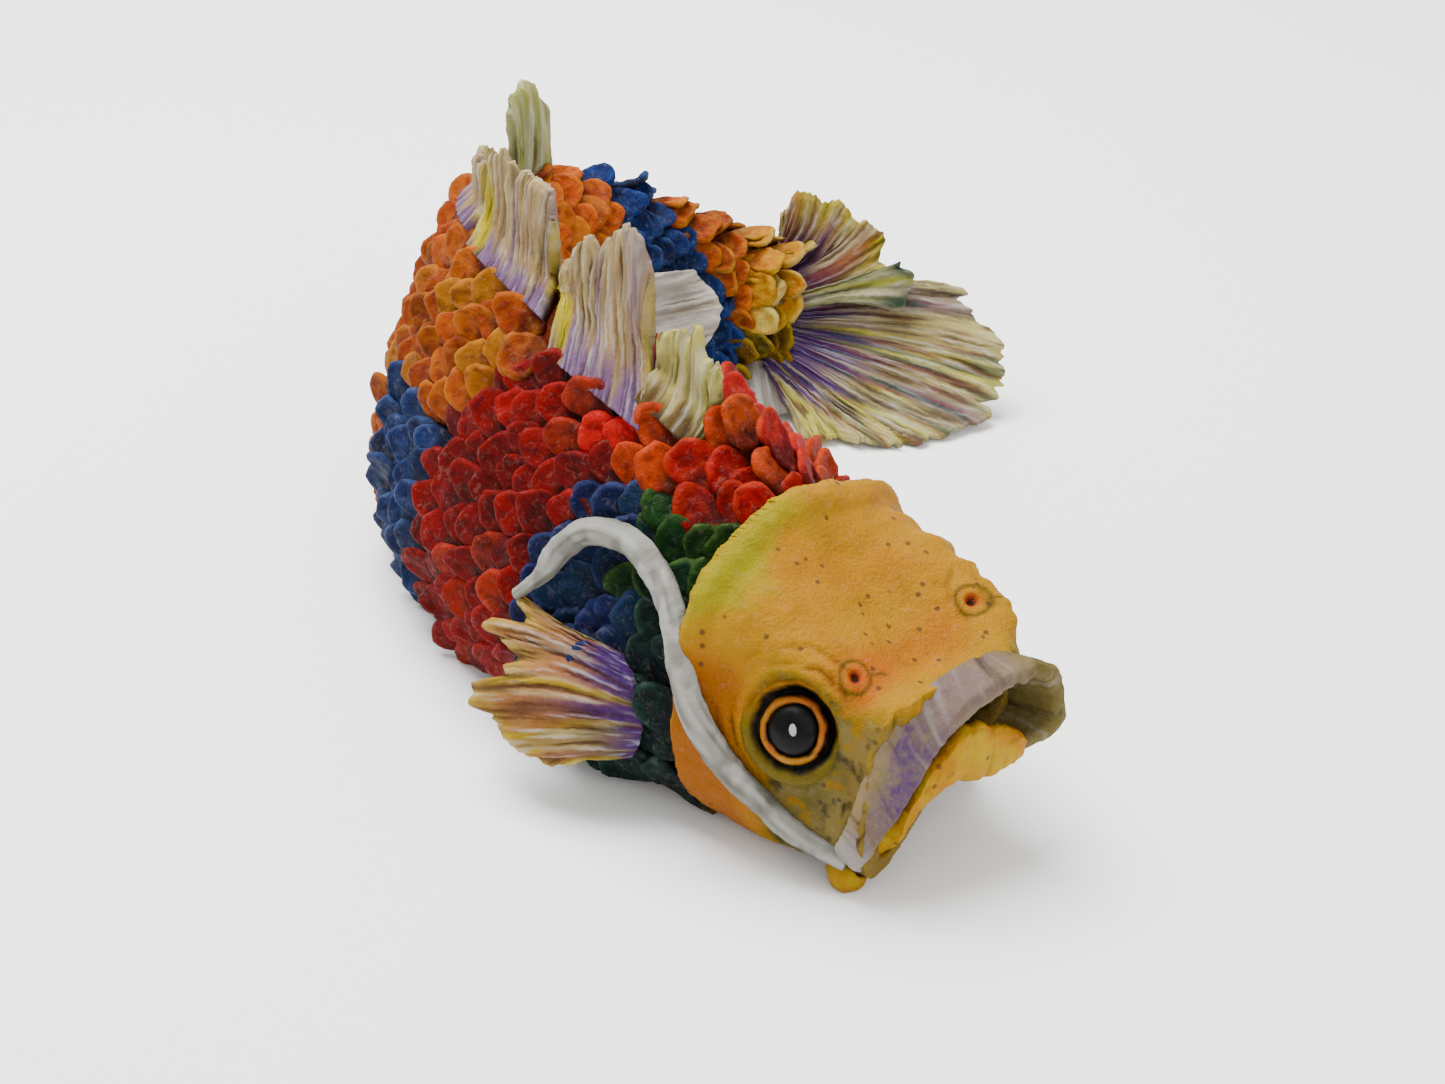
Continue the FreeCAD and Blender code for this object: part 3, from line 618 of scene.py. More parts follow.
def fin(name, rows, paint, material, seed, root=1.7, edge=1.0, rib=1.3, depth=0.5,
        tear=0.08, tear_size=3.0, curl=0.9, notch=0.0):
    """A torn, combed sheet of clay about rows of points, from its root to its free edge.

    The root and edge are half thicknesses, and the ribs are rib apart and depth high.
    """
    middle = smooth_grid(rows, 9, 9)
    breadth = np.linalg.norm(np.diff(middle[6], axis=0), axis=1).sum()
    length = np.linalg.norm(np.diff(middle[:, 4], axis=0), axis=1).sum()
    across = int(np.clip(breadth / 0.32, 24, 260))
    out = int(np.clip(length / 0.42, 24, 140))
    grid = smooth_grid(rows, out, across)
    s = np.linspace(0, breadth, across)[None, :] * np.ones((out, 1))
    u = np.linspace(0, 1, out)[:, None] * np.ones((1, across))
    zero = np.zeros(across)
    reach = (1 + tear * noise_uv(s[0] / tear_size, zero, seed)
             + tear * 0.6 * noise_uv(s[0] / (tear_size * 0.38), zero, seed + 1)
             + tear * 0.35 * noise_uv(s[0] / (tear_size * 0.15), zero, seed + 2))
    cuts = ramp(0.45, 0.8, np.abs(noise_uv(s[0] / (tear_size * 0.8), zero, seed + 3)))
    reach = np.clip(reach - notch * cuts, 0.4, 1.12)
    index = u * reach * (out - 1)
    low = np.minimum(index.astype(int), out - 2)
    part = (index - low)[..., None]
    columns = np.arange(across)[None, :] * np.ones((out, 1), int)
    centre = grid[low, columns] * (1 - part) + grid[low + 1, columns] * part
    normal = unit(np.cross(np.gradient(centre, axis=1), np.gradient(centre, axis=0)))
    d = u * reach * length
    wave = noise_uv(s / (tear_size * 1.6), d / 14, seed + 4) * curl * ramp(0.15, 1, u)
    flick = noise_uv(s / (tear_size * 0.5), d / 9, seed + 5) * curl * 0.9 * ramp(0.7, 1, u)
    centre = centre + normal * (wave + flick)[..., None]
    half = root + (edge - root) * ramp(0.0, 0.85, u)
    half = half * (1 - 0.55 * ramp(0.9, 1.0, u))
    sides, reliefs = [], []
    for k, sign in ((0, 1), (1, -1)):
        drift = noise_uv(s / 9, d / 16, seed + 9 + k) * 1.6
        coarse = 1 - 2 * np.abs(noise_uv(s / rib + drift, d / (rib * 11), seed + 6 + 10 * k))
        fine = noise_uv(s / (rib * 0.30) + drift * 2, d / (rib * 5), seed + 7 + 10 * k)
        relief = 0.62 * coarse + 0.38 * fine
        sides.append(centre + sign * normal * (half + depth * relief
                                               * (0.45 + 0.55 * ramp(0, 0.3, u)))[..., None])
        reliefs.append(relief)
    ring = np.concatenate([sides[0], sides[1][::-1]], 0)
    relief = np.concatenate([reliefs[0], reliefs[1][::-1]], 0)
    count = ring.shape[0]
    ids = np.arange(count * across).reshape(count, across)
    quads = np.concatenate([grid_quads(count, across, True, False), loop_caps(ids[:, 0], False),
                            loop_caps(ids[:, -1], True)])
    points = ring.reshape(-1, 3)
    points = points + unit(noise_vector(points, 1.1, seed)) * 0.10
    uu = np.concatenate([u, u[::-1]], 0).reshape(-1)
    ss = np.concatenate([s, s[::-1]], 0).reshape(-1)
    dd = np.concatenate([d, d[::-1]], 0).reshape(-1)
    colour = paint(uu, ss / breadth, ss, dd, relief.reshape(-1), points) * FIN_LIFT
    points[:, 2] = np.maximum(points[:, 2], 0.1)
    make_object(name, points, quads, colour, material)


def noise_vector(points, size, seed):
    return np.stack([noise(points, size, seed + 31 * k) for k in range(3)], -1)


def fin_paint(root, body, tip, streak_colours, seed, wash_and_shade=rgb(44, 32, 24), root_end=0.4):
    """Fin paint: root colour fading along the ribs, streaks, wash and painted shade in the
    recesses, painted highlight on the ribs.
    """
    def paint(u, v, s, d, relief, points):
        ragged = u + 0.16 * noise_uv(s / 1.5, d / 20, seed)
        colour = mix(root, body, ramp(root_end * 0.35, root_end, ragged))
        colour = mix(colour, tip, ramp(0.62, 0.98, ragged))
        for k, (streak, amount, size) in enumerate(streak_colours):
            band = noise_uv(s / size, d / (size * 12), seed + 40 + k)
            colour = mix(colour, streak, amount * ramp(0.18, 0.62, band)
                         * ramp(0.02, 0.35, ragged))
        # dark wash and painted shade in the grooves between the ribs
        colour = mix(colour, wash_and_shade, 0.75 * ramp(0.10, -0.60, relief))
        # pale paint and painted highlight on the rib crests
        pale = mix(colour, np.ones(3) * 0.9, 0.35)
        return mix(colour, pale, ramp(0.35, 0.9, relief))
    return paint


DORSAL_FEET = {"dorsal_fin_front": (1.0, 0.05), "dorsal_fin_middle": (1.35, 0.30),
               "dorsal_fin_rear": (0.95, 0.15), "dorsal_fin_bend": (0.8, 0.05),
               "dorsal_fin_leaf": (0.5, 0.0)}


def make_fins():
    bone = painted("paint_fin_bone", 0.72, 0.5, (0.16, 0.12, 0.07), 0.35, patchy=0.14)
    grey = painted("paint_fin_grey", 0.72, 0.5, (0.20, 0.17, 0.13), 0.3, patchy=0.12)
    lemon, violet, cream = rgb(208, 196, 74), rgb(98, 70, 124), rgb(216, 204, 170)
    taupe, lime, maroon = rgb(170, 146, 112), rgb(168, 168, 62), rgb(112, 46, 56)
    teal, umber = rgb(44, 84, 84), rgb(134, 96, 58)
    dorsal = fin_paint(rgb(124, 98, 128), taupe, rgb(198, 178, 140),
                       [(lemon, 0.75, 4.5), (violet, 0.45, 4.0), (cream, 0.45, 1.2)], 300)
    front = fin_paint(rgb(104, 86, 58), rgb(184, 172, 122), rgb(214, 206, 140),
                      [(lime, 0.5, 3.0), (cream, 0.8, 1.6)], 320)
    leaf = fin_paint(rgb(150, 142, 122), rgb(176, 178, 138), rgb(196, 198, 150),
                     [(lime, 0.4, 2.0), (cream, 0.6, 1.4)], 340)
    tops = {
        "dorsal_fin_front": ([(1.18, 71), (1.27, 75.5), (1.45, 78.5), (1.62, 75.5), (1.8, 73)],
                             front),
        "dorsal_fin_middle": ([(1.9, 83), (2.06, 90.5), (2.22, 89.5), (2.38, 85.5), (2.54, 85),
                               (2.7, 81), (2.86, 76)], dorsal),
        "dorsal_fin_rear": ([(2.97, 84), (3.06, 87.5), (3.3, 88), (3.55, 89), (3.8, 90),
                             (4.08, 87)], dorsal),
        "dorsal_fin_bend": ([(4.2, 84), (4.5, 80.5), (4.85, 78.5), (5.2, 76), (5.5, 72)], dorsal),
        "dorsal_fin_leaf": ([(5.82, 78), (5.94, 82.2), (6.1, 81.5), (6.24, 80.5), (6.38, 75)],
                            leaf),
    }
    for k, (name, (top, paint)) in enumerate(tops.items()):
        rows = [[], [], [], [], []]
        for station, height in top:
            x, y, ridge = curve(STATIONS, station)[[0, 1, 3]]
            foot, lead = DORSAL_FEET[name]
            rows[0].append(body_point(station - lead, foot, 1.8))
            rows[1].append(body_point(station - lead * 0.55, foot * 0.45, 2.4))
            for row, share in ((2, 0.3), (3, 0.68), (4, 1.0)):
                rows[row].append(place((x, y, ridge + (height - ridge) * share)))
        fin(name, rows, paint, bone, 400 + 20 * k, root=1.9, edge=0.9,
            rib=1.0, depth=0.55, tear=0.07, tear_size=4.2,
            curl=1.6 if name == "dorsal_fin_leaf" else 0.6, notch=0.12)
    pectoral = np.array([
        [(-16.5, -87.5, 29), (-14, -91.5, 26), (-13, -93, 21.5), (-13.5, -93.5, 17),
         (-16, -92, 13)],
        [(-27, -80, 30), (-27.5, -83.5, 26), (-28, -88, 20.5), (-26, -91.5, 15),
         (-23, -92.5, 11.5)],
        [(-36, -71.5, 31.5), (-41, -74, 24), (-42.3, -79, 16), (-36, -86, 11), (-27, -89, 8.5)]],
        float)
    pectoral_paint = fin_paint(rgb(78, 50, 104), rgb(170, 124, 92), rgb(204, 176, 112),
                               [(lemon, 0.45, 3.4), (cream, 0.4, 1.4), (umber, 0.5, 1.6)], 360,
                               wash_and_shade=rgb(92, 62, 52), root_end=0.6)
    for side, rows in (("right", pectoral), ("left", mirrored(pectoral))):
        fin(side + "_pectoral_fin", place(rows), pectoral_paint, bone, 520,
            root=2.2, edge=1.5, rib=1.1, depth=0.55, tear=0.12, tear_size=5.2, curl=1.5,
            notch=0.22)
    pelvic = [
        [(-24, 43, 32), (-24, 41, 28), (-22, 40, 24), (-19, 40, 20)],
        [(-14, 47, 37), (-13, 45.5, 31), (-12, 43.5, 26), (-11, 42, 22)],
        [(-6, 51, 36), (-1.5, 49, 31.5), (-0.5, 47, 27), (-4, 44, 22)]]
    far_pelvic = [
        [(-52, 44, 26), (-53, 42, 22), (-53, 40, 18), (-52, 38, 13)],
        [(-48, 56, 25), (-51, 53, 20), (-53, 50, 14), (-54, 46, 9)],
        [(-42, 67, 24), (-46, 65, 17), (-50, 61, 10), (-53, 55, 5)]]
    anal = [
        [(1, 60, 10), (7, 60.5, 11), (13, 61, 11)],
        [(2, 55, 5), (8, 54.5, 6), (14, 56, 5.5)],
        [(3, 52, 2.2), (9, 51, 2.2), (15, 52.5, 2.2)]]
    pale = fin_paint(rgb(160, 150, 140), rgb(196, 190, 182), rgb(214, 208, 196),
                     [(cream, 0.5, 1.6), (rgb(150, 138, 128), 0.5, 1.8)], 380)
    for name, rows in (("left_pelvic_fin", pelvic), ("right_pelvic_fin", far_pelvic),
                       ("anal_fin", anal)):
        fin(name, place(rows), pale, grey, 560, root=2.1, edge=1.1, rib=1.5,
            depth=0.35, tear=0.05, tear_size=4.0, curl=0.5)
    lower = fin_paint(rgb(80, 44, 112), rgb(172, 158, 118), rgb(206, 196, 144),
                      [(rgb(208, 202, 120), 0.8, 3.0), (rgb(104, 78, 112), 0.6, 3.4),
                       (teal, 0.65, 1.1), (maroon, 0.55, 1.0), (cream, 0.6, 1.5)], 600,
                      wash_and_shade=rgb(84, 70, 52), root_end=0.58)
    upper = fin_paint(rgb(84, 44, 104), rgb(158, 132, 104), rgb(190, 174, 104),
                      [(rgb(150, 92, 58), 0.7, 4.0), (lime, 0.6, 3.0), (cream, 0.6, 1.4)], 620,
                      wash_and_shade=rgb(72, 56, 44), root_end=0.75)
    dark_leaf = fin_paint(rgb(96, 70, 100), rgb(150, 150, 118), rgb(58, 74, 60),
                          [(cream, 0.7, 1.5), (lime, 0.5, 2.0)], 640)
    fin("tail_lower_fan", place([
        [(11, 66, 19), (11, 64.5, 17.5), (11, 62.5, 16), (10.5, 60.5, 14), (10, 59, 12),
         (9.5, 57.5, 10)],
        [(32, 69, 25), (37, 62, 17), (36, 57, 10.5), (29, 50.5, 6), (22, 48.5, 4.5),
         (14, 49, 4.5)],
        [(51, 68, 25), (60, 58, 14.5), (59.5, 51, 4), (45, 41, 1.7), (31, 38.8, 1.7),
         (17, 41.5, 1.7)]]), lower, bone, 700, root=1.8, rib=1.15, tear=0.07,
        tear_size=4.5, notch=0.10)
    fin("tail_upper_fan", place([
        [(7, 70, 25), (8, 70, 25.5), (9.5, 69, 24.5), (10.5, 67.5, 23), (11, 66, 21)],
        [(11.5, 71, 33), (14, 71.5, 36), (18.5, 71, 35), (22, 70, 32.5), (24.5, 68.5, 28.5)],
        [(12.4, 72, 39.5), (16.3, 73, 45), (22, 73, 44), (28, 72, 41),
         (31.5, 70, 36)]]), upper, bone, 740, root=1.9, rib=1.0, tear_size=3.6,
        curl=0.8, notch=0.05)
    fin("tail_middle_leaf", place([
        [(10, 66.5, 26), (10, 65, 23.5), (10, 63.5, 20)],
        [(22, 68, 32), (24.5, 66, 29), (25, 64, 24)],
        [(30, 69.5, 39.5), (34.5, 67.5, 36.5), (35, 65, 29)]]), upper, bone, 760)
    fin("tail_curled_leaf", place([
        [(9.5, 61.5, 24), (9.5, 61, 22.5), (9.5, 60.5, 21)],
        [(26, 63, 28.5), (27, 62, 26.5), (26, 61, 24)],
        [(37, 64, 32), (41, 61.5, 28), (38, 59, 22.5)]]), dark_leaf, bone, 780,
        edge=1.1)


# ---------------------------------------------------------------- barbels and trunk
def tube(points, radii, around):
    """Rings of points round a curve."""
    tangent = unit(np.gradient(points, axis=0))
    side = unit(np.cross(tangent, UP))
    other = np.cross(tangent, side)
    angle = np.linspace(0, 2 * np.pi, around, endpoint=False)
    ring = (side[:, None] * np.cos(angle)[None, :, None]
            + other[:, None] * np.sin(angle)[None, :, None])
    return points[:, None] + ring * radii[:, None, None], ring


def make_barbels():
    white = painted("paint_barbel", 0.55, 0.55, (0.3, 0.27, 0.22), 0.4, patchy=0.22)
    route = np.array([
        (20.5, -115.5, 6.8), (13.5, -112.2, 8.8), (7.2, -109.4, 13), (0.6, -107, 19.5),
        (-4, -104.8, 26.3), (-6.4, -101, 32.4), (-7.4, -96, 37.6), (-9.4, -90.6, 42.6),
        (-13, -84.6, 46.4), (-17.8, -80, 47.4), (-22.8, -76.4, 46), (-27.6, -75, 41.8),
        (-31, -75, 36.6), (-35.4, -72.6, 31.6)])
    left = mirrored(route[1:] * (1, 1, LEFT_BARBEL_DROOP))
    for name, way in (("right_barbel", route), ("left_barbel", left)):
        fine = curve(place(way), np.linspace(0, len(way) - 1, 260))
        travel = np.r_[0, np.cumsum(np.linalg.norm(np.diff(fine, axis=0), axis=1))]
        t = travel / travel[-1]
        line = np.stack([travel, 0 * travel, 0 * travel], 1)
        radii = 2.35 * (1 + 0.07 * noise(line, 9, 11) + 0.04 * noise(line, 3, 12))
        radii = radii * (1 - 0.62 * ramp(0.86, 1.0, t)) * (0.8 + 0.2 * ramp(0, 0.08, t))
        rings, outward = tube(fine, radii, 28)
        facets = rough(rings, 3.4, 13, 3) * 0.32
        rings = rings + outward * facets[..., None]
        count, around = rings.shape[:2]
        ids = np.arange(count * around).reshape(count, around)
        quads = np.concatenate([grid_quads(count, around), loop_caps(ids[0], True),
                                loop_caps(ids[-1], False)])
        points = rings.reshape(-1, 3)
        brushed = noise(np.stack([np.repeat(travel, around) / 6,
                                  np.tile(np.arange(around), count) / 1.6,
                                  np.zeros(count * around)], -1), 1.0, 14)
        hollow = facets.reshape(-1)
        below = ramp(0.2, -0.8, outward.reshape(-1, 3)[:, 2])
        # The last two coats are painted shade: darker in the hollows between the facets and on the
        # underside.
        colour = glazed(rgb(212, 211, 202),
                        ((150, 148, 138), ramp(0.0, 0.8, brushed) * 0.75),
                        ((242, 241, 236), ramp(0.0, 0.8, -brushed) * 0.8),
                        ((112, 108, 98), ramp(0.02, -0.2, hollow) * 0.45),
                        ((120, 116, 106), below * 0.4))
        make_object(name, points, quads, colour, white)


def make_trunk():
    skin = painted("paint_trunk", 0.75, 0.6, (0.03, 0.02, 0.02), 0.4, patchy=0.3)
    steps = 200
    spine = curve(STATIONS, np.linspace(0, LAST, steps))
    for name in ("front_trunk_shell", "rear_trunk_shell", "tail_stalk"):
        points, quads = remeshed([name], 1.3)
        normals = normals_of(points, quads)
        points = points + normals * (rough(points, 6, 50, 3) * 0.35 - 0.1)[:, None]
        points[:, 2] = np.maximum(points[:, 2], 0.0)
        plan = points[:, :2] + PLAN_CENTRE[:2]
        gap = ((plan[:, None] - spine[None, :, :2]) ** 2).sum(-1)
        station = gap.argmin(1) / (steps - 1) * LAST
        # The trunk shows only in the gaps between the scales: it takes mostly the coats' dark
        # paint, as painted shade.
        colour = np.array([mix(PAINT[coat_for(a, z)][1], PAINT[coat_for(a, z)][0], 0.25)
                           for a, z in zip(station, points[:, 2])])
        clay = rgb(150, 118, 88)
        colour = mix(colour, clay, ramp(3.5, 1.0, points[:, 2] + rough(points, 5, 51)))
        make_object(name, points, quads, colour, skin)


# ---------------------------------------------------------------- head
def eye_place(side):
    """The middle of an eye and the way it looks.  The side is -1 for right and 1 for left."""
    middle = head(np.array([EYE_PLACE[0], side * EYE_PLACE[1], EYE_PLACE[2]]))
    return middle, unit(FORWARD * EYE_AXIS[0] + LEFT * (side * EYE_AXIS[1]) + UP * EYE_AXIS[2])


def make_head():
    """The six head slabs as one skin.  A point is b back, t left and z up."""
    names = ["crown_plate", "right_cheek", "left_cheek", "right_gill_cover", "left_gill_cover",
             "throat_plate"]
    points, quads = remeshed(names, 0.42)
    b, t, z = to_head(points).T
    outward = normals_of(points, quads)
    move = rough(points, 9, 70, 3) * 0.55 + rough(points, 2.4, 71, 3) * 0.14
    on_top = ramp(30, 38, z) * ramp(0.15, 0.6, outward[:, 2])
    saddle = bump(t, 3.5, 8.5) * ramp(-3, 5, b) * (1 - ramp(22, 33, b))
    move -= 2.4 * saddle * on_top
    rim = ramp(29.0, 32.5, b) * ramp(30, 42, z)
    move += 1.3 * rim * (1 + 0.5 * rough(points, 5, 72))
    brow = np.zeros(len(points))
    lids = np.zeros(len(points))
    for side in (-1, 1):
        centre, axis = eye_place(side)
        offset = points - centre
        depth = offset @ axis
        flat = offset - depth[:, None] * axis
        far = np.linalg.norm(flat, axis=1) + 0.6 * rough(points, 4, 73)
        facing = ramp(-6, -2, depth) * ramp(0.1, 0.5, outward @ axis)
        high = flat @ unit(UP - axis * axis[2]) / np.maximum(far, 1)
        back = flat @ unit(-FORWARD + axis * (axis @ FORWARD)) / np.maximum(far, 1)
        upper = ramp(-0.5, 0.7, high + 0.6 * back)
        broken = np.clip(0.5 + 1.2 * rough(points, 6, 97), 0, 1)
        move += facing * (0.7 * bump(far, 9.6, 1.3) * (0.4 + 0.6 * upper)
                          + upper * broken * (0.5 * bump(far, 12.0, 0.9)
                                              - 0.6 * bump(far, 10.8, 0.5)
                                              - 0.4 * bump(far, 13.6, 0.5)))
        brow += facing * upper * broken * (bump(far, 10.8, 0.4) + 0.7 * bump(far, 13.6, 0.4))
        lids += facing * ramp(9.4, 8.4, far) * 0.5
    points = points + outward * move[:, None]
    left_rim = ramp(15.5, 20, t) * ramp(31, 35, z - 0.3 * b) * (b > -1)
    ragged = rough(np.stack([b, 0 * b, 0 * b], -1), 6.0, 74, 4)
    points = points + LEFT * (left_rim * (1.2 + 1.9 * ragged))[:, None]
    front_rim = ramp(1.8, -0.8, b) * ramp(29, 32, z)
    ragged = rough(np.stack([t, 0 * t, 0 * t], -1), 5.0, 75, 4)
    points = points + FORWARD * (front_rim * (0.9 + 1.2 * ragged))[:, None]
    crease = noise(np.stack([b / 1.1, t / 7, z / 3.5], -1), 1.0, 69)
    wrinkled = ramp(11, 1, b) * ramp(34, 28, z) * ramp(-8, -12, t)
    points = points - outward * (0.55 * wrinkled * ramp(0.25, 0.7, crease))[:, None]
    points[:, 2] = np.maximum(points[:, 2], 0.4)

    pale = bump(t, 3.5, 6.5) * bump(b, 13, 10) * ramp(35, 38, z)
    lemon = ramp(23, 33, b + 5 * rough(points, 8, 77)) * ramp(4, -6, t) * ramp(34, 44, z)
    blush = bump(b, 6.5 + 0.1 * t, 3.2) * ramp(33, 36, z) * ramp(18, 8, t)
    temple = bump(b, 20, 6.5) * bump(z, 38, 7) * ramp(-14, -19, t)
    behind = ramp(20, 25, b) * ramp(40, 33, z) * ramp(0, -10, t)
    colour = glazed(
        mix(rgb(228, 178, 0), rgb(220, 154, 0), 0.5 + 0.8 * rough(points, 13, 76)),
        ((226, 176, 30), pale * 0.5),
        ((202, 194, 0), lemon * 0.95),
        ((220, 122, 10), blush * (0.35 + 0.4 * bump(t, -10, 7))),
        ((222, 176, 30), ramp(3.2, 0.5, b) * ramp(33, 35, z) * 0.7),
        ((206, 156, 50), temple * 0.7),
        ((200, 128, 0), behind * 0.9))
    cheek = ramp(1.8, -1.8, z - 33.5 - 0.30 * b + 1.2 * rough(points, 4, 79))
    cheek = cheek * ramp(20.5, 15.5, b + 2 * rough(points, 5, 80)) * (outward[:, 2] < 0.9)
    khaki, olive = rgb(158, 148, 106), rgb(112, 108, 70)
    colour = mix(colour, mix(khaki, olive, 0.5 + 0.9 * rough(points, 6, 78)), cheek * 0.92)
    dabbed = rough(points, 2.6, 98, 3)
    corner = bump(z - 12.0 + 1.6 * b, 0, 1.1 + 0.5 * rough(points, 4, 99)) * (b < 9) * (z < 20)
    colour = glazed(
        colour,
        ((176, 150, 96), cheek * ramp(6, 0, b) * 0.75),
        ((206, 150, 24), cheek * ramp(0.3, 0.65, dabbed) * 0.5),
        ((58, 50, 30), cheek * ramp(0.25, 0.65, -dabbed) * 0.7),
        ((60, 38, 18), np.clip(corner, 0, 1) * ramp(0, -8, t) * 0.7),
        # painted shade in the pressed creases
        ((40, 30, 22), wrinkled * ramp(0.35, 0.75, crease) * 0.8),
        # painted shade in the brow grooves
        ((96, 62, 22), np.clip(brow, 0, 1) * 0.55),
        ((52, 40, 20), np.clip(lids, 0, 1) * 0.75))
    nostrils = ((6.7, -12.8), (8.2, 16.8))
    for back_at, left_at in nostrils:
        top_side = ramp(33, 35, z) * (outward[:, 2] > 0.2)
        away = np.hypot(b - back_at, t - left_at)
        ring = bump(away, 2.5, 0.34)
        beside = t - left_at
        tail_mark = (bump(b - back_at + 0.5 * beside, 0, 0.4)
                     * ramp(2.2, 3.0, beside) * ramp(5.6, 4.6, beside))
        colour = glazed(colour,
                        ((96, 88, 28), np.clip(ring + tail_mark, 0, 1) * top_side * 0.85),
                        ((214, 92, 20), ramp(1.5, 0.9, away) * top_side * 0.8),
                        # painted shade in the nostril hole
                        ((60, 14, 6), ramp(0.85, 0.5, away) * top_side))
        points = points - outward * (ramp(1.2, 0.4, away) * top_side * 0.8)[:, None]
    # dark wash and painted shade in the hollows of the skin, lighter paint and painted highlight on
    # its rises
    hollow = hollowness(points, quads, 8)
    colour = glazed(colour, ((70, 42, 6), ramp(0.07, 0.34, hollow) * 0.8),
                    ((240, 196, 40), ramp(0.06, 0.3, -hollow) * 0.35))
    skin = painted("paint_head", 0.6, 0.9, (0.07, 0.03, 0.01), 0.5, patchy=0.2, pinholes=0.8)
    make_object("head_skin", points, quads, colour, skin, names)


def make_mouth():
    lip_root = [(4, -17.2, 8.6), (2.5, -17.4, 15.3), (1.0, -15.8, 25.5), (0.6, -12.2, 31.5),
                (0.6, -2.5, 33.6), (0.6, 8, 32.6), (0.8, 15.5, 31.4), (1.2, 18, 27.5),
                (1.5, 17.5, 23), (1.5, 14.5, 19.5)]
    lip_rim = [(0, -18.2, 6), (-1.5, -15.9, 9.9), (-3, -13, 15.7), (-5, -8.4, 23.5),
               (-6.5, -3.8, 30.1), (-8, 3.2, 34.5), (-9.5, 11.2, 35.8), (-10.5, 17.3, 32.9),
               (-10, 19.4, 22.5), (-7, 13.6, 18.8)]
    jaw_root = [(0.5, -14, 8), (0.5, -7, 13), (0.5, 0, 17.5), (0.5, 7, 17.5), (0.5, 13, 18.5)]
    jaw_fold = [(-1.5, -12, 10.5), (-2.5, -6, 16.5), (-4, 0, 19), (-5, 7, 17), (-5.5, 13.5, 17.5)]
    jaw_rim = [(-2, -9.5, 16), (-3.5, -3.5, 23.5), (-5, 2, 27), (-6, 8.5, 25), (-6.5, 14, 21)]
    root, rim = np.array(lip_root, float), np.array(lip_rim, float)
    belly = (root + rim) / 2
    belly[6:, 0] += 1.8
    lip_rows = head(np.stack([root, belly, rim]))
    jaw_rows = head(np.array([jaw_root, jaw_fold, jaw_rim], float))
    lip_skin = painted("paint_lip", 0.6, 0.6, (0.04, 0.03, 0.025), 0.5, patchy=0.24)
    jaw_skin = painted("paint_jaw", 0.6, 0.5, (0.07, 0.04, 0.01), 0.55, patchy=0.2, pinholes=0.7)

    def lip_paint(u, v, s, d, relief, points):
        patch = bump(v, 0.30, 0.10) * ramp(0.2, 0.45, u + 0.3 * rough(points, 3, 84))
        return glazed(
            mix(rgb(152, 138, 108), rgb(140, 122, 116), 0.5 + 0.9 * rough(points, 5, 83)),
            ((96, 66, 126), np.clip(patch * 1.3, 0, 1) * (0.55 + 0.6 * rough(points, 0.9, 85))),
            ((176, 156, 124), ramp(0.4, 0.1, u) * ramp(0.4, 0.2, v) * 0.7),
            ((198, 194, 190), ramp(0.14, 0.04, v) * 0.75),
            ((122, 112, 62), ramp(0.60, 0.72, v) * 0.75),
            # painted shade where the left lobe meets the head
            ((54, 44, 34), ramp(0.6, 0.75, v) * ramp(0.5, 0.0, u) * 0.75),
            # painted shade in the grooves and painted highlight on the ridges
            ((40, 30, 26), ramp(-0.1, -0.8, relief) * 0.7),
            ((206, 198, 190), ramp(0.4, 0.95, relief) * 0.35))

    def jaw_paint(u, v, s, d, relief, points):
        return glazed(
            mix(rgb(204, 150, 22), rgb(222, 182, 44), 0.5 + 0.9 * rough(points, 5, 86)),
            # painted shade in the grooves
            ((84, 54, 16), ramp(-0.1, -0.8, relief) * 0.6),
            ((120, 84, 26), ramp(0.3, 0.9, rough(points, 2, 87)) * 0.5))

    fin("upper_lip", lip_rows, lip_paint, lip_skin, 830, root=2.1, edge=1.5,
        rib=2.2, depth=0.28, tear=0.03, tear_size=5.0, curl=0.5)
    fin("lower_jaw", jaw_rows, jaw_paint, jaw_skin, 850, root=1.8, edge=1.4,
        rib=2.4, depth=0.22, tear=0.05, tear_size=4.0, curl=0.4)
    points, quads = remeshed(["chin_foot"], 0.35)
    outward = normals_of(points, quads)
    points = points + outward * (rough(points, 3, 88, 3) * 0.35)[:, None]
    points[:, 2] = np.maximum(points[:, 2], 0.0)
    colour = mix(rgb(208, 158, 28), rgb(226, 190, 54), 0.5 + 0.9 * rough(points, 3, 89))
    make_object("chin_foot", points, quads, colour, jaw_skin)


def turned(profile, centre, axis, around, seed, amount):
    """A closed ring or cap turned about an axis from (radius, height) points."""
    side = unit(np.cross(axis, UP))
    other = np.cross(axis, side)
    angle = np.linspace(0, 2 * np.pi, around, endpoint=False)
    profile = np.array(profile, float)
    spoke = side * np.cos(angle)[:, None] + other * np.sin(angle)[:, None]
    points = (centre + profile[:, None, :1] * spoke[None]
              + profile[:, None, 1:] * axis[None, None])
    flat = points.reshape(-1, 3)
    shift = rough(flat, 3.2, seed, 3)[:, None] * amount
    return (flat + axis * shift).reshape(points.shape)


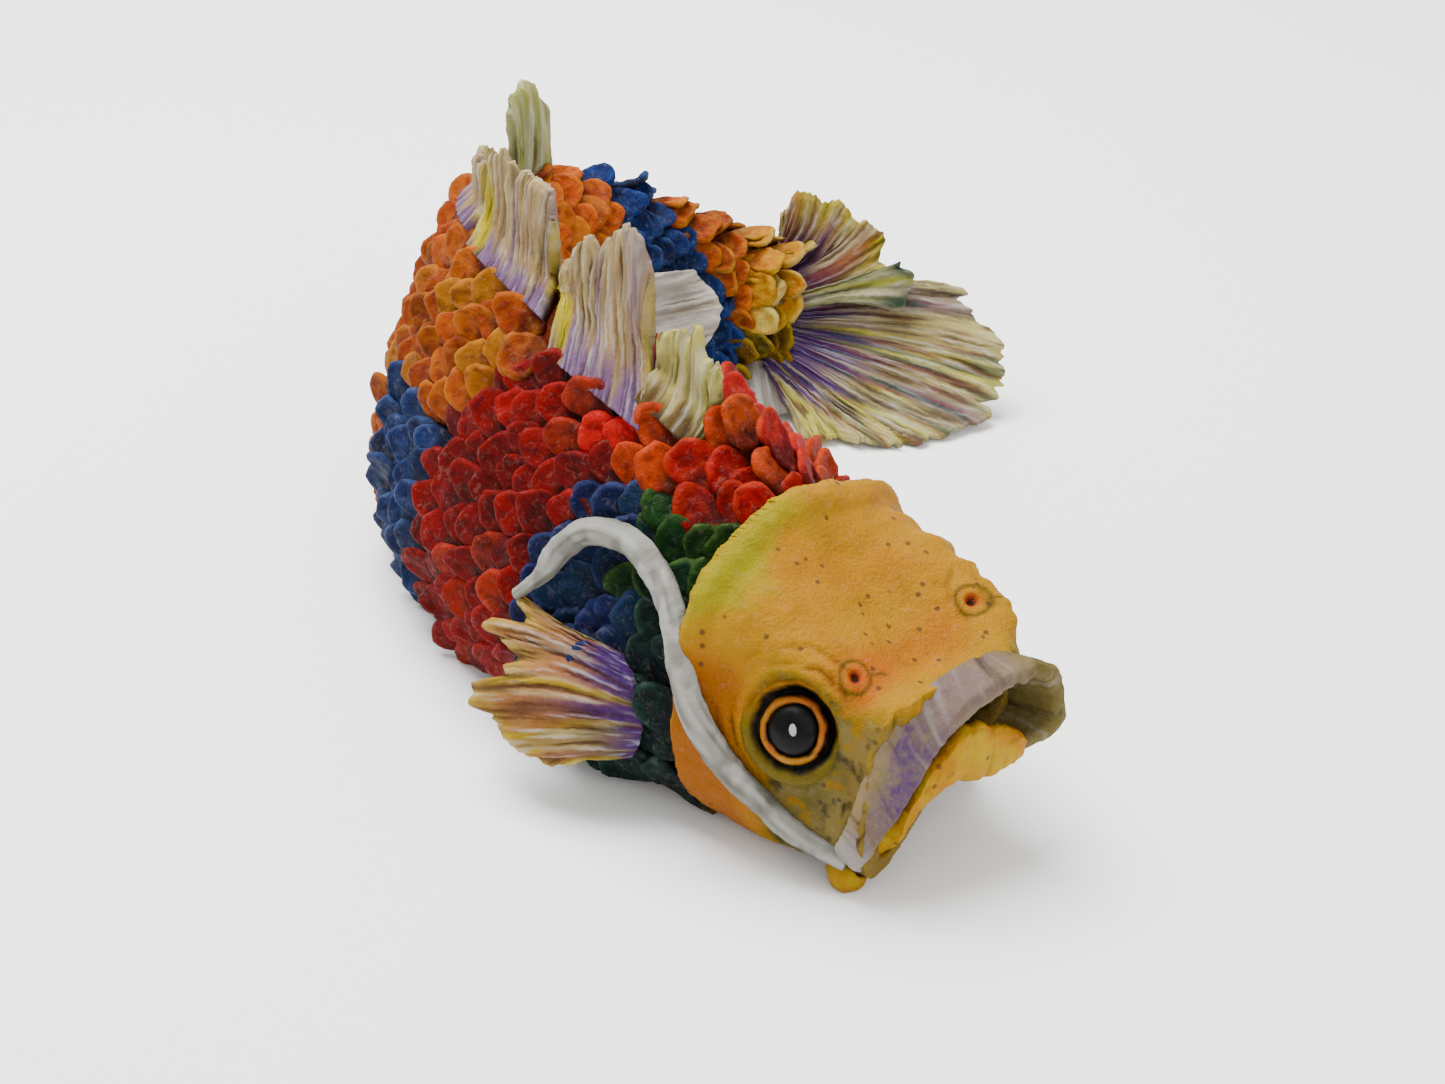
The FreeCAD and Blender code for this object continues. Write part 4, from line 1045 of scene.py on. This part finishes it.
def make_eyes():
    gloss = painted("paint_pupil", 0.4, 0.05, (0.01, 0.01, 0.01), 0.0, patchy=0.02, sheen=0.12)
    iris = painted("paint_iris", 0.42, 0.35, (0.12, 0.05, 0.01), 0.5, coat=0.15, patchy=0.2)
    socket = painted("paint_socket", 0.5, 0.4, (0.01, 0.01, 0.01), 0.3, patchy=0.1)
    dome = [(4.3 * math.sin(a) + 0.02, 2.2 * math.cos(a)) for a in np.linspace(0, np.pi / 2, 44)]
    dome += [(4.3, -3.0), (0.02, -3.0)]
    ring = [(4.15, -3), (4.2, 0.25), (4.45, 0.7), (4.85, 0.95), (5.25, 0.85), (5.6, 0.45),
            (5.85, -0.1), (5.95, -3)]
    groove = [(5.7, -3), (5.75, -0.7), (6.1, -0.9), (6.6, -0.6), (7.1, 0.2), (7.7, 0.7),
              (8.5, 0.6), (9.2, -0.5), (9.3, -2.0), (8.6, -3)]

    def pupil_paint(points, offset, r, axis, side):
        up = unit(UP - axis * axis[2])
        x, y = offset @ np.cross(axis, up) + 0.4 * side * -1, offset @ up - 0.3
        glint = ((x / 0.62) ** 2 + ((y - 0.35 * x) / 0.95) ** 2) < 1
        front = offset @ axis > 0.5
        return np.where((glint & front)[:, None], rgb(238, 238, 236), rgb(4, 4, 4))

    def iris_paint(points, offset, r, axis, side):
        worn = r + 0.55 * rough(points, 2.6, 93)
        return glazed(mix(rgb(204, 122, 0), rgb(220, 164, 0), 0.5 + 0.9 * rough(points, 3, 94)),
                      ((30, 18, 8), ramp(4.6, 4.3, worn)),
                      ((60, 30, 10), ramp(5.45, 5.85, worn)))

    def socket_paint(points, offset, r, axis, side):
        skin = mix(rgb(140, 124, 66), rgb(206, 150, 10), ramp(-2, 6, offset[:, 2]))
        return mix(rgb(12, 10, 9), skin, ramp(6.9, 7.7, r + 0.7 * rough(points, 3, 96)))

    pieces = [("pupil", dome, 90, 0.10, pupil_paint, gloss, "eye_black"),
              ("iris_ring", ring, 92, 0.5, iris_paint, iris, "eye_orange"),
              ("socket_ring", groove, 95, 0.9, socket_paint, socket, "eye_socket")]
    around = 72
    for side, name in ((-1, "right"), (1, "left")):
        middle, axis = eye_place(side)
        for kind, profile, seed, amount, paint, finish, slot in pieces:
            points = turned(profile, middle, axis, around, seed, amount).reshape(-1, 3)
            offset = points - middle
            r = np.linalg.norm(offset - (offset @ axis)[:, None] * axis, axis=1)
            make_object(name + "_" + kind, points, grid_quads(len(profile), around, True),
                        paint(points, offset, r, axis, side), finish)


# ---------------------------------------------------------------- build
make_trunk()
make_scales()
make_fins()
make_barbels()
make_head()
make_mouth()
make_eyes()

# ---------------------------------------------------------------- studio
floor_mesh = bpy.data.meshes.new("floor")
half_floor = 6.0
floor_mesh.from_pydata([(-half_floor, -half_floor, 0), (half_floor, -half_floor, 0),
                        (half_floor, half_floor, 0), (-half_floor, half_floor, 0)], [],
                       [(0, 1, 2, 3)])
floor = linked("floor", floor_mesh)
floor_paint = bpy.data.materials.new("floor")
floor_paint.use_nodes = True
set_inputs(floor_paint.node_tree.nodes["Principled BSDF"],
           {"Base Color": (0.94, 0.94, 0.93, 1), "Roughness": 0.7, "Specular IOR Level": 0.1})
floor_mesh.materials.append(floor_paint)

world = bpy.data.worlds.new("studio")
bpy.context.scene.world = world
world.use_nodes = True
set_inputs(world.node_tree.nodes["Background"], {"Color": (1.0, 1.0, 1.0, 1), "Strength": 1.12})


def aimed(thing, where, aim):
    thing.location = where
    thing.rotation_euler = (Vector(aim) - Vector(where)).to_track_quat("-Z", "Y").to_euler()


def soft_light(name, where, aim, size, watts):
    data = bpy.data.lights.new(name, "AREA")
    data.size = size
    data.energy = watts
    lamp = linked(name, data)
    aimed(lamp, where, aim)


soft_light("overhead", (-0.18, 0.18, 0.8), (0, 0, 0), 0.6, 20.0)
soft_light("front_fill", (0.4, -0.7, 0.6), (0, 0, 0.03), 0.6, 3.0)

camera_data = bpy.data.cameras.new("camera")
camera_data.lens = 69.76
camera_data.sensor_width = 36.0
camera_data.clip_start = 0.01
camera = linked("camera", camera_data)
aimed(camera, (0.0042, -0.4664, 0.280), (0.0042, 0.0186, 0.0))
bpy.context.scene.camera = camera
